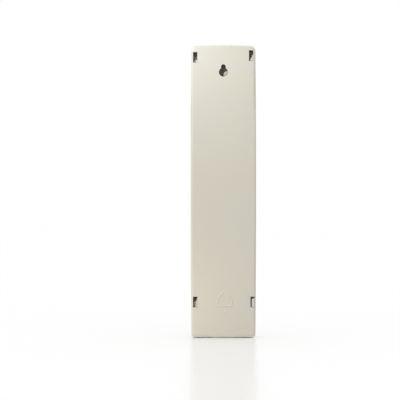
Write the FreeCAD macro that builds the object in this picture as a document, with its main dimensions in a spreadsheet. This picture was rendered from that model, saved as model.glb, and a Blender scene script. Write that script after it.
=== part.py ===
import FreeCAD, Part
import math
import os
import Sketcher
from FreeCAD import Vector

# Slim wall-hung video intercom monitor. Millimetres, +Z up, +X to the right as seen from the front.
# The wall face is the plane y = 0 and the front looks along -Y. "Depth" is always measured from
# the wall face towards the front, so a point at depth d lies at y = -d.

doc = FreeCAD.newDocument("video_intercom_monitor")

# ---------------------------------------------------------------- driving dimensions
DIMENSIONS = [
    # how far a cut runs past the faces that it goes through
    ("overrun", 1.0),
    # casing as a whole
    ("body_height", 250.0),
    ("body_width", 56.0),
    ("side_bow", 0.65),
    ("end_bow", 0.85),
    ("top_corner_radius", 4.5),
    ("bottom_corner_radius", 2.4),
    ("cover_depth", 4.7),
    ("seam_gap", 0.8),
    ("face_depth", 17.6),
    ("raised_step", 2.0),
    ("front_edge_radius", 2.4),
    ("rear_edge_radius", 2.0),
    # walls
    ("shell_wall", 2.0),
    ("front_wall", 2.4),
    ("cover_wall", 2.0),
    # speaker bulge at the top of the front
    ("crown_step", 4.2),
    ("crown_height", 9.0),
    ("bulge_height", 32.7),
    ("bulge_end_radius", 5.0),
    ("bulge_foot_radius", 1.5),
    # raised section at the bottom of the front
    ("chin_height", 40.0),
    ("flare_length", 13.0),
    ("chin_end_radius", 6.5),
    ("chin_end_drop", 5.0),
    # lip of the cover inside the shell
    ("rebate_wall", 1.0),
    ("lip_wall", 0.85),
    ("lip_height", 2.5),
    ("lip_clearance", 0.1),
    # wall keyhole
    ("keyhole_drop", 23.1),
    ("keyhole_head_radius", 3.85),
    ("keyhole_slot_radius", 2.0),
    ("keyhole_travel", 4.7),
    # snap windows in the cover and hooks on the shell
    ("window_width", 3.7),
    ("window_height", 9.1),
    ("window_ledge_depth", 1.3),
    ("right_window_ledge", 0.6),
    ("left_window_ledge", 1.1),
    ("right_top_window_margin", 1.35),
    ("right_bottom_window_margin", 1.35),
    ("left_top_window_margin", 1.85),
    ("left_bottom_window_margin", 0.55),
    ("right_top_window_drop", 10.5),
    ("left_top_window_drop", 9.0),
    ("bottom_window_rise", 30.6),
    ("hook_gap", 0.2),
    ("hook_nose_gap", 0.05),
    ("hook_end_depth", 0.4),
    ("hook_root_gap", 1.0),
    ("hook_root_thickness", 3.0),
    ("right_hook_thickness", 0.6),
    ("left_hook_thickness", 1.3),
    ("right_top_hook_height", 2.3),
    ("right_top_hook_slant", 0.6),
    ("right_bottom_hook_height", 7.2),
    ("right_bottom_hook_slant", 2.8),
    ("left_top_hook_height", 4.8),
    ("left_top_hook_slant", 4.0),
    ("left_bottom_hook_height", 7.4),
    ("left_bottom_hook_slant", 0.3),
    # moulding mark on the cover
    ("mark_offset", -0.6),
    ("mark_rise", 32.4),
    ("mark_radius", 7.1),
    ("mark_corner_radius", 3.0),
    ("mark_line", 1.2),
    ("mark_relief", 0.28),
    ("mark_rounding", 0.24),
    ("mark_break", 1.2),
    ("mark_bar_length", 3.7),
    ("mark_bar_offset", -1.6),
    ("mark_bar_rise", 22.9),
    # side vents
    ("vent_length", 5.7),
    ("vent_height", 1.7),
    ("vent_pitch", 5.27),
    ("vent_count", 5),
    ("vent_rise", 8.3),
    ("vent_depth", 9.4),
    ("vent_tip", 0.7),
    # display
    ("display_width", 46.0),
    ("display_height", 74.0),
    ("display_drop", 43.0),
    ("display_corner_radius", 3.0),
    ("display_thickness", 1.5),
    ("display_gap", 0.15),
    ("display_recess", 0.1),
    ("tape_thickness", 0.2),
    ("tape_width", 3.0),
    ("view_corner_radius", 1.0),
    ("panel_width", 42.7),
    ("panel_height", 60.3),
    ("panel_thickness", 1.2),
    ("backlight_thickness", 2.0),
    ("gasket_thickness", 0.5),
    ("gasket_width", 1.6),
    ("holder_floor", 1.0),
    ("holder_foot", 0.5),
    ("holder_wall", 1.1),
    ("holder_gap", 0.2),
    ("holder_rim", 2.0),
    ("holder_corner_radius", 1.0),
    # circuit board
    ("board_width", 45.0),
    ("board_thickness", 1.6),
    ("board_top_drop", 37.0),
    ("board_bottom_rise", 5.0),
    ("board_corner_radius", 1.5),
    # screws and their bosses
    ("screw_spacing", 39.0),
    ("screw_hole_radius", 1.2),
    ("screw_head_radius", 1.9),
    ("screw_head_height", 1.4),
    ("screw_length", 5.0),
    ("screw_recess", 0.8),
    ("screw_crown", 0.5),
    ("cross_length", 2.2),
    ("cross_width", 0.5),
    ("pilot_radius", 0.8),
    ("boss_radius", 2.5),
    ("boss_root", 0.2),
    ("upper_screw_drop", 41.0),
    ("middle_screw_rise", 75.0),
    ("lower_screw_rise", 19.0),
    ("clamp_screw_drop", 30.6),
    # loudspeaker
    ("speaker_drop", 20.0),
    ("speaker_radius", 14.0),
    ("speaker_gasket_thickness", 0.6),
    ("speaker_rim", 0.8),
    ("basket_depth", 3.0),
    ("basket_radius", 11.0),
    ("basket_edge", 0.6),
    ("surround_gap", 0.2),
    ("surround_rise", 0.05),
    ("cone_gap", 0.1),
    ("cone_depth", 1.6),
    ("cone_thickness", 0.3),
    ("cap_radius", 4.4),
    ("cap_rise", 0.6),
    ("magnet_radius", 8.0),
    ("magnet_thickness", 2.9),
    ("speaker_pocket_gap", 0.5),
    ("speaker_pocket_depth", 2.0),
    ("clamp_thickness", 1.2),
    ("clamp_height", 5.6),
    ("clamp_pad_radius", 3.2),
    ("clamp_pad_offset", 3.4),
    ("clamp_pad_drop", 2.1),
    ("clamp_pad_depth", 4.5),
    ("grille_slot_length", 20.0),
    ("grille_slot_height", 1.3),
    ("grille_end_share", 0.49),
    ("grille_pitch", 3.1),
    ("grille_count", 5),
    # keys and their switches
    ("key_clearance", 0.3),
    ("key_rise", 0.7),
    ("key_flange", 1.1),
    ("key_flange_thickness", 0.8),
    ("key_flange_gap", 0.1),
    ("key_stem_radius", 2.0),
    ("key_edge_radius", 0.45),
    ("switch_side", 6.2),
    ("switch_height", 3.0),
    ("switch_bore_radius", 1.9),
    ("plunger_radius", 1.6),
    ("plunger_rise", 0.8),
    ("plunger_root", 0.7),
    ("switch_bore_depth", 1.5),
    ("talk_radius", 9.0),
    ("talk_rise", 83.0),
    ("upper_key_radius", 6.5),
    ("upper_key_offset", 12.5),
    ("upper_key_rise", 111.0),
    ("volume_key_radius", 4.5),
    ("volume_key_offset", 12.5),
    ("volume_key_rise", 60.5),
    # status light
    ("light_rise", 126.0),
    ("light_radius", 1.2),
    ("light_clearance", 0.1),
    ("light_gap", 0.2),
    ("light_flange_radius", 2.2),
    ("light_flange_thickness", 0.8),
    ("led_side", 2.0),
    ("led_height", 0.8),
    # microphone in the raised section
    ("chin_pocket_depth", 1.8),
    ("chin_pocket_width", 43.0),
    ("microphone_rise", 27.0),
    ("microphone_radius", 3.0),
    ("microphone_height", 2.7),
    ("boot_wall", 1.1),
    ("boot_floor", 0.6),
    ("boot_gap", 0.05),
    ("collar_wall", 1.2),
    ("collar_height", 3.0),
    ("microphone_hole_radius", 0.8),
    # line socket in the bottom end
    ("socket_width", 15.6),
    ("socket_height", 6.8),
    ("socket_length", 11.0),
    ("socket_wall", 1.0),
    ("socket_floor", 1.5),
    ("socket_gap", 0.3),
    ("mouth_corner_radius", 0.5),
    ("contact_side", 0.7),
    ("contact_length", 6.0),
    ("contact_pitch", 3.2),
    ("contact_count", 4),
    # board components
    ("processor_side", 14.0),
    ("memory_width", 11.0),
    ("memory_height", 8.0),
    ("amplifier_side", 6.0),
    ("chip_thickness", 1.1),
    ("chip_edge", 0.15),
    ("processor_rise", 142.0),
    ("memory_rise", 165.0),
    ("amplifier_rise", 195.0),
    ("capacitor_radius", 3.15),
    ("capacitor_height", 5.4),
    ("capacitor_edge", 0.5),
    ("capacitor_pitch", 9.0),
    ("capacitor_count", 3),
    ("capacitor_rise", 40.0),
    ("inductor_side", 7.0),
    ("inductor_height", 3.2),
    ("inductor_corner_radius", 0.8),
    ("inductor_edge", 0.3),
    ("inductor_rise", 56.0),
    ("crystal_gap", 6.0),
    ("crystal_width", 5.0),
    ("crystal_height", 3.2),
    ("ribbon_width", 14.0),
    ("ribbon_thickness", 0.3),
    ("ribbon_bend", 1.4),
    ("ribbon_reach", 4.4),
    ("ribbon_seat", 0.45),
    ("ribbon_clearance", 1.0),
    ("connector_lug", 1.0),
    ("connector_height", 3.4),
    ("connector_thickness", 1.2),
    ("lead_count", 2),
    ("lead_radius", 0.5),
    ("lead_pitch", 2.0),
    ("lead_offset", 4.0),
    ("lead_gap", 0.15),
    ("lead_upper_bend", 0.68),
    ("lead_lower_bend", 0.3),
    ("plug_width", 5.6),
    ("plug_height", 4.0),
    ("plug_thickness", 2.6),
]

dim = doc.addObject("Spreadsheet::Sheet", "dim")
for row, (alias, amount) in enumerate(DIMENSIONS, start=1):
    dim.set(f"A{row}", alias)
    dim.set(f"B{row}", str(amount))
    dim.setAlias(f"B{row}", alias)
doc.recompute()

# ---------------------------------------------------------------- places worked out from them
lay = doc.addObject("App::VarSet", "lay")
LAYOUT = [
    ("half_width", "dim.body_width/2"),
    ("half_height", "dim.body_height/2"),
    ("corner_x", "lay.half_width - dim.side_bow"),
    ("corner_z", "lay.half_height - dim.end_bow"),
    ("side_radius", "(lay.corner_z^2 + dim.side_bow^2)/(2*dim.side_bow)"),
    ("end_radius", "(lay.corner_x^2 + dim.end_bow^2)/(2*dim.end_bow)"),
    ("shell_rear", "dim.cover_depth + dim.seam_gap"),
    ("raised_depth", "dim.face_depth + dim.raised_step"),
    ("shell_inside", "dim.face_depth - dim.front_wall"),
    # front profile, from the top down
    ("crown_radius", "(dim.crown_step^2 + dim.crown_height^2)/(2*dim.crown_step)"),
    ("bulge_foot_z", "lay.half_height - dim.bulge_height"),
    ("bulge_radii", "dim.bulge_end_radius + dim.bulge_foot_radius"),
    ("bulge_turn", "sqrt(lay.bulge_radii^2 - (lay.bulge_radii - dim.raised_step)^2)"),
    ("bulge_end_z", "lay.bulge_foot_z + lay.bulge_turn"),
    ("chin_top_z", "dim.chin_height - lay.half_height"),
    ("flare_radius", "(dim.flare_length^2 + dim.raised_step^2)/(4*dim.raised_step)"),
    ("chin_end_step", "dim.chin_end_radius - sqrt(dim.chin_end_radius^2 - dim.chin_end_drop^2)"),
    # cover and hooks
    ("lip_inset", "dim.rebate_wall + dim.lip_clearance"),
    ("lip_depth", "dim.cover_depth + dim.lip_height"),
    # the -X edge and the middle height of each snap window, right and left as seen from the front
    ("right_top_window_x", "lay.corner_x - dim.right_top_window_margin - dim.window_width"),
    ("right_bottom_window_x", "lay.corner_x - dim.right_bottom_window_margin - dim.window_width"),
    ("left_top_window_x", "dim.left_top_window_margin - lay.corner_x"),
    ("left_bottom_window_x", "dim.left_bottom_window_margin - lay.corner_x"),
    ("right_top_window_z", "lay.half_height - dim.right_top_window_drop"),
    ("left_top_window_z", "lay.half_height - dim.left_top_window_drop"),
    ("right_bottom_window_z", "dim.bottom_window_rise - lay.half_height"),
    ("left_bottom_window_z", "dim.bottom_window_rise - lay.half_height"),
    ("hook_root_back", "lay.lip_depth + dim.hook_root_gap"),
    ("keyhole_z", "lay.half_height - dim.keyhole_drop"),
    ("mark_z", "dim.mark_rise - lay.half_height"),
    # display stack, front to back
    ("display_z", "lay.half_height - dim.display_drop - dim.display_height/2"),
    ("view_width", "min(dim.panel_width - 2*dim.gasket_width; dim.display_width - 2*dim.tape_width)"),
    ("view_height", "min(dim.panel_height - 2*dim.gasket_width; dim.display_height - 2*dim.tape_width)"),
    ("display_front", "dim.face_depth - dim.display_recess"),
    ("display_back", "lay.display_front - dim.display_thickness"),
    ("tape_back", "lay.display_back - dim.tape_thickness"),
    ("gasket_back", "lay.shell_inside - dim.gasket_thickness"),
    ("panel_back", "lay.gasket_back - dim.panel_thickness"),
    ("backlight_back", "lay.panel_back - dim.backlight_thickness"),
    ("holder_back", "lay.backlight_back - dim.holder_floor"),
    # board
    ("board_front", "lay.holder_back - dim.holder_foot"),
    ("board_back", "lay.board_front - dim.board_thickness"),
    ("board_top_z", "lay.half_height - dim.board_top_drop"),
    ("board_bottom_z", "dim.board_bottom_rise - lay.half_height"),
    ("board_z", "(lay.board_top_z + lay.board_bottom_z)/2"),
    ("board_height", "lay.board_top_z - lay.board_bottom_z"),
    ("screw_x", "dim.screw_spacing/2"),
    ("upper_screw_z", "lay.half_height - dim.upper_screw_drop"),
    ("middle_screw_z", "dim.middle_screw_rise - lay.half_height"),
    ("lower_screw_z", "dim.lower_screw_rise - lay.half_height"),
    # loudspeaker stack, front to back
    ("speaker_z", "lay.half_height - dim.speaker_drop"),
    ("speaker_seat", "lay.shell_inside + dim.speaker_pocket_depth"),
    ("speaker_front", "lay.speaker_seat - dim.speaker_gasket_thickness"),
    ("rim_back", "lay.speaker_front - dim.speaker_rim"),
    ("basket_back", "lay.rim_back - dim.basket_depth"),
    ("magnet_back", "lay.basket_back - dim.magnet_thickness"),
    ("clamp_back", "lay.magnet_back - dim.clamp_thickness"),
    ("clamp_z", "lay.half_height - dim.clamp_screw_drop"),
    # keys
    ("key_front", "dim.face_depth + dim.key_rise"),
    ("flange_front", "lay.shell_inside - dim.key_flange_gap"),
    ("flange_back", "lay.flange_front - dim.key_flange_thickness"),
    ("switch_front", "lay.board_front + dim.switch_height"),
    ("plunger_front", "lay.switch_front + dim.plunger_rise"),
    ("talk_z", "dim.talk_rise - lay.half_height"),
    ("upper_key_z", "dim.upper_key_rise - lay.half_height"),
    ("volume_key_z", "dim.volume_key_rise - lay.half_height"),
    ("light_z", "dim.light_rise - lay.half_height"),
    # raised section at the bottom
    ("chin_inside", "lay.shell_inside + dim.chin_pocket_depth"),
    ("chin_pocket_bottom_z", "dim.shell_wall + dim.end_bow - lay.half_height"),
    ("microphone_z", "dim.microphone_rise - lay.half_height"),
    ("boot_radius", "dim.microphone_radius + dim.boot_wall"),
    ("boot_back", "lay.chin_inside - dim.boot_floor - dim.microphone_height"),
    ("socket_mouth_z", "lay.chin_pocket_bottom_z + dim.socket_gap"),
    ("socket_back_z", "lay.socket_mouth_z + dim.socket_length"),
    ("socket_middle", "lay.board_front + dim.socket_height/2"),
]
for place, formula in LAYOUT:
    lay.addProperty("App::PropertyFloat", place, "Layout")
    lay.setExpression(place, formula)
doc.recompute()


touching = 0.01
least_volume = 1e-6
least_radius = 0.3


def amount_of(formula):
    return float(lay.evalExpression(formula))


# ---------------------------------------------------------------- sketch and feature helpers
def new_body(label):
    body = doc.addObject("PartDesign::Body", label)
    body.Label = label
    body.AllowCompound = True
    return body


def new_sketch(body, name, role, offset):
    sketch = body.newObject("Sketcher::SketchObject", name)
    plane = [item for item in body.Origin.OriginFeatures if item.Role == role][0]
    sketch.AttachmentSupport = (plane, [""])
    sketch.MapMode = "FlatFace"
    sketch.setExpression(".AttachmentOffset.Base.z", offset)
    return sketch


def facing(body, name, depth):
    """Sketch seen from the front, at a depth from the wall: x is X and y is Z."""
    return new_sketch(body, name, "XZ_Plane", depth)


def sideways(body, name, offset="0"):
    """Sketch seen from the side, at an X offset: x is Y, which is minus the depth, and y is Z."""
    return new_sketch(body, name, "YZ_Plane", offset)


def level(body, name, height):
    """Sketch seen from above, at a height: x is X and y is Y, which is minus the depth."""
    return new_sketch(body, name, "XY_Plane", height)


def bind(sketch, constraint, formula):
    index = sketch.addConstraint(constraint)
    sketch.setExpression(f"Constraints[{index}]", formula)


def pin_point(sketch, geometry, point, x, y):
    bind(sketch, Sketcher.Constraint("DistanceX", -1, 1, geometry, point, amount_of(x)), x)
    bind(sketch, Sketcher.Constraint("DistanceY", -1, 1, geometry, point, amount_of(y)), y)


def add_circle(sketch, x, y, radius):
    centre = Vector(amount_of(x), amount_of(y), 0)
    index = sketch.addGeometry(Part.Circle(centre, Vector(0, 0, 1), amount_of(radius)))
    pin_point(sketch, index, 3, x, y)
    bind(sketch, Sketcher.Constraint("Radius", index, amount_of(radius)), radius)


def arc_between(start, end, radius, turn):
    """Arc from start to end, under half a circle, turning left (turn 1) or right (turn -1)."""
    chord = end - start
    middle = (start + end) * 0.5
    side = Vector(-chord.y, chord.x, 0).normalize() * turn
    reach = max(radius ** 2 - (chord.Length / 2) ** 2, 0.0) ** 0.5
    centre = middle + side * reach
    crest = centre - side * radius
    return Part.Arc(start, crest, end)


def add_loop(sketch, points):
    """Closed outline. Each point is (x, y) with a straight line to the next point, or
    (x, y, turn, radius) with an arc to the next point."""
    places = [Vector(amount_of(point[0]), amount_of(point[1]), 0) for point in points]
    first = sketch.GeometryCount
    total = len(points)
    starts = []
    ends = []
    for number, point in enumerate(points):
        here = places[number]
        there = places[(number + 1) % total]
        if len(point) == 2:
            sketch.addGeometry(Part.LineSegment(here, there))
            starts.append(1)
            ends.append(2)
        else:
            sketch.addGeometry(arc_between(here, there, amount_of(point[3]), point[2]))
            starts.append(1 if point[2] > 0 else 2)
            ends.append(2 if point[2] > 0 else 1)
    for number, point in enumerate(points):
        after = (number + 1) % total
        meeting = (first + number, ends[number], first + after, starts[after])
        sketch.addConstraint(Sketcher.Constraint("Coincident", *meeting))
        pin_point(sketch, first + number, starts[number], point[0], point[1])
        if len(point) == 4:
            bind(sketch, Sketcher.Constraint("Radius", first + number, amount_of(point[3])), point[3])


def add_box(sketch, x, y, width, height):
    left, right = f"{x} - ({width})/2", f"{x} + ({width})/2"
    low, high = f"{y} - ({height})/2", f"{y} + ({height})/2"
    add_loop(sketch, [(left, low), (right, low), (right, high), (left, high)])


def add_rounded_box(sketch, x, y, width, height, radius):
    left, right = f"{x} - ({width})/2", f"{x} + ({width})/2"
    low, high = f"{y} - ({height})/2", f"{y} + ({height})/2"
    add_loop(sketch, [
        (f"{left} + ({radius})", low),
        (f"{right} - ({radius})", low, 1, radius),
        (right, f"{low} + ({radius})"),
        (right, f"{high} - ({radius})", 1, radius),
        (f"{right} - ({radius})", high),
        (f"{left} + ({radius})", high, 1, radius),
        (left, f"{high} - ({radius})"),
        (left, f"{low} + ({radius})", 1, radius),
    ])


def add_casing_outline(sketch, inset="0"):
    """The casing's front outline: bowed sides and ends joined by tangent corner arcs."""
    side = amount_of(f"lay.side_radius - ({inset})")
    end = amount_of(f"lay.end_radius - ({inset})")
    half_width = amount_of(f"lay.half_width - ({inset})")
    half_height = amount_of(f"lay.half_height - ({inset})")
    corner_radii = [f"max(dim.{end_name}_corner_radius - ({inset}); {least_radius})"
                    for end_name in ("bottom", "top")]
    centres = [Vector(half_width - side, 0, 0), Vector(0, half_height - end, 0)]
    centres += [Vector(side - half_width, 0, 0), Vector(0, end - half_height, 0)]
    radii = [side, end, side, end]
    corners = []
    for x_sign, z_sign, radius in ((1, -1, 0), (1, 1, 1), (-1, 1, 1), (-1, -1, 0)):
        size = amount_of(corner_radii[radius])
        x = x_sign * (amount_of(f"lay.corner_x - ({inset})") - size)
        z = z_sign * (amount_of(f"lay.corner_z - ({inset})") - size)
        corners.append((Vector(x, z, 0), size, corner_radii[radius]))

    def touch(number, corner):
        away = (corners[corner][0] - centres[number]).normalize()
        return centres[number] + away * radii[number]

    first = sketch.GeometryCount
    for number in range(4):
        start = touch(number, number)
        finish = touch(number, (number + 1) % 4)
        sketch.addGeometry(arc_between(start, finish, radii[number], 1))
        corner, size, formula = corners[(number + 1) % 4]
        leave = corner + (finish - corner).normalize() * size
        arrive = touch((number + 1) % 4, (number + 1) % 4)
        arrive = corner + (arrive - corner).normalize() * size
        sketch.addGeometry(arc_between(leave, arrive, size, 1))
    for number in range(4):
        arc = first + 2 * number
        after = first + (2 * number + 2) % 8
        sketch.addConstraint(Sketcher.Constraint("Tangent", arc, 2, arc + 1, 1))
        sketch.addConstraint(Sketcher.Constraint("Tangent", arc + 1, 2, after, 1))
        size, formula = corners[(number + 1) % 4][1:]
        bind(sketch, Sketcher.Constraint("Radius", arc + 1, size), formula)
        name = "side" if number % 2 == 0 else "end"
        bind(sketch, Sketcher.Constraint("Radius", arc, radii[number]), f"lay.{name}_radius - ({inset})")
        half = "width" if number % 2 == 0 else "height"
        reach = f"lay.half_{half} - lay.{name}_radius"
        if number >= 2:
            reach = f"-({reach})"
        x, y = (reach, "0") if number % 2 == 0 else ("0", reach)
        pin_point(sketch, arc, 3, x, y)


def pad(body, sketch, length, name, back=False):
    """Adds the sketch, thickened along its normal: towards the front from a facing sketch."""
    feature = body.newObject("PartDesign::Pad", name)
    feature.Profile = sketch
    feature.setExpression("Length", length)
    feature.Reversed = back
    doc.recompute()
    return feature


def cut(body, sketch, length, name, back=False):
    """Cuts the sketch along its normal, or against it with back, and proves that it removed something."""
    before = body.Shape.Volume
    feature = body.newObject("PartDesign::Pocket", name)
    feature.Profile = sketch
    feature.setExpression("Length", length)
    feature.Reversed = not back
    doc.recompute()
    if not body.Shape.Volume < before - least_volume:
        raise RuntimeError(f"{body.Label}: {name} cut nothing")
    return feature


def cut_across(body, sketch, name):
    """Cuts the sketch right through, both ways."""
    before = body.Shape.Volume
    feature = body.newObject("PartDesign::Pocket", name)
    feature.Profile = sketch
    feature.Type = "ThroughAll"
    feature.SideType = "Symmetric"
    doc.recompute()
    if not body.Shape.Volume < before - least_volume:
        raise RuntimeError(f"{body.Label}: {name} cut nothing")
    return feature


def repeat(body, feature, axis, spacing, count, name):
    """Linear pattern of one feature along one of the body's own axes."""
    pattern = body.newObject("PartDesign::LinearPattern", name)
    pattern.Originals = [feature]
    direction = [item for item in body.Origin.OriginFeatures if item.Role == axis][0]
    pattern.Direction = (direction, [""])
    pattern.Mode = "Spacing"
    pattern.setExpression("Offset", spacing)
    pattern.setExpression("Occurrences", count)
    body.Tip = pattern
    doc.recompute()
    return pattern


def fillet(body, wanted, radius, name):
    """Rounds the edges of the body's last feature for which wanted(edge) is true."""
    base = body.Tip
    names = [f"Edge{n}" for n, edge in enumerate(base.Shape.Edges, start=1) if wanted(edge)]
    feature = body.newObject("PartDesign::Fillet", name)
    feature.Base = (base, names)
    feature.setExpression("Radius", radius)
    doc.recompute()
    return feature


def is_line(edge):
    return isinstance(edge.Curve, (Part.Line, Part.LineSegment))


def at_depth(edge, depth):
    reach = amount_of(depth)
    return all(abs(-vertex.Point.y - reach) < touching for vertex in edge.Vertexes)


def block(label, x, z, width, height, back, thickness, radius=None):
    """A plate or block seen from the front, from a back depth forwards."""
    body = new_body(label)
    sketch = facing(body, label + "_outline", back)
    if radius is None:
        add_box(sketch, x, z, width, height)
    else:
        add_rounded_box(sketch, x, z, width, height, radius)
    pad(body, sketch, thickness, label + "_pad")
    return body


def disc(label, x, z, radius, back, thickness):
    body = new_body(label)
    sketch = facing(body, label + "_outline", back)
    add_circle(sketch, x, z, radius)
    pad(body, sketch, thickness, label + "_pad")
    return body


# ---------------------------------------------------------------- keys
# name, x, z, radius
KEYS = [
    ("unlock", "-dim.upper_key_offset", "lay.upper_key_z", "dim.upper_key_radius"),
    ("monitor", "dim.upper_key_offset", "lay.upper_key_z", "dim.upper_key_radius"),
    ("talk", "0", "lay.talk_z", "dim.talk_radius"),
    ("volume_down", "-dim.volume_key_offset", "lay.volume_key_z", "dim.volume_key_radius"),
    ("volume_up", "dim.volume_key_offset", "lay.volume_key_z", "dim.volume_key_radius"),
]
BOARD_SCREWS = [(x, z) for z in ("lay.upper_screw_z", "lay.middle_screw_z", "lay.lower_screw_z")
                for x in ("-lay.screw_x", "lay.screw_x")]
CLAMP_SCREWS = [("-lay.screw_x", "lay.clamp_z"), ("lay.screw_x", "lay.clamp_z")]
# side and end of each snap window
WINDOWS = [(side, end) for side in ("right", "left") for end in ("top", "bottom")]


# ---------------------------------------------------------------- casing
def front_profile(sketch):
    """Region in front of the casing's front, seen from the side."""
    clear = "lay.raised_depth + dim.overrun"
    over = "lay.half_height + dim.overrun"
    bulge_share = "dim.bulge_end_radius/lay.bulge_radii"
    chin_top = "lay.chin_top_z"
    add_loop(sketch, [
        ("-(lay.raised_depth - dim.crown_step)", over),
        ("-(lay.raised_depth - dim.crown_step)", "lay.half_height", 1, "lay.crown_radius"),
        ("-lay.raised_depth", "lay.half_height - dim.crown_height"),
        ("-lay.raised_depth", "lay.bulge_end_z", 1, "dim.bulge_end_radius"),
        (f"-(lay.raised_depth - dim.bulge_end_radius + (lay.bulge_radii - dim.raised_step)*{bulge_share})",
         f"lay.bulge_end_z - lay.bulge_turn*{bulge_share}", -1, "dim.bulge_foot_radius"),
        ("-dim.face_depth", "lay.bulge_foot_z"),
        ("-dim.face_depth", f"{chin_top} + dim.flare_length", -1, "lay.flare_radius"),
        ("-(dim.face_depth + dim.raised_step/2)", f"{chin_top} + dim.flare_length/2", 1, "lay.flare_radius"),
        ("-lay.raised_depth", chin_top),
        ("-lay.raised_depth", "dim.chin_end_drop - lay.half_height", 1, "dim.chin_end_radius"),
        ("-(lay.raised_depth - lay.chin_end_step)", "-lay.half_height"),
        ("-(lay.raised_depth - lay.chin_end_step)", f"-({over})"),
        (f"-({clear})", f"-({over})"),
        (f"-({clear})", over),
    ])


def add_hook(body, side, end):
    """Snap hook: an arm from the shell's side wall into the window, with a nose over its ledge.
    All the noses point to -X, and each hook's top slants down away from its nose."""
    name = f"{side}_{end}"
    ledge = f"dim.{side}_window_ledge"
    thickness = f"dim.{side}_hook_thickness"
    slant = f"dim.{name}_hook_slant"
    tip = f"(lay.{name}_window_x + dim.hook_gap)"
    near = f"({tip} + {ledge})"
    far = f"({near} + {thickness})"
    low = f"(lay.{name}_window_z - dim.window_height/2 + dim.hook_gap)"
    high = f"({low} + dim.{name}_hook_height)"
    middle = f"({high} - {slant}*{ledge}/({ledge} + {thickness}))"
    arm = facing(body, f"{name}_hook_arm", "dim.hook_end_depth")
    add_loop(arm, [(near, low), (far, low), (far, f"{high} - {slant}"), (near, middle)])
    arm_length = "lay.hook_root_back + dim.hook_root_thickness - dim.hook_end_depth"
    pad(body, arm, arm_length, f"{name}_hook_arm_pad")
    nose = facing(body, f"{name}_hook_nose", "dim.hook_end_depth")
    add_loop(nose, [(tip, low), (near, low), (near, middle), (tip, high)])
    nose_length = "dim.window_ledge_depth - dim.hook_end_depth - dim.hook_nose_gap"
    pad(body, nose, nose_length, f"{name}_hook_nose_pad")
    wall = "(lay.half_width - dim.shell_wall/2)"
    left, right = (near, wall) if side == "right" else (f"-{wall}", far)
    root = facing(body, f"{name}_hook_root", "lay.hook_root_back")
    add_loop(root, [(left, low), (right, low), (right, f"{high} - {slant}"), (left, f"{high} - {slant}")])
    pad(body, root, "dim.hook_root_thickness", f"{name}_hook_root_pad")


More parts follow.
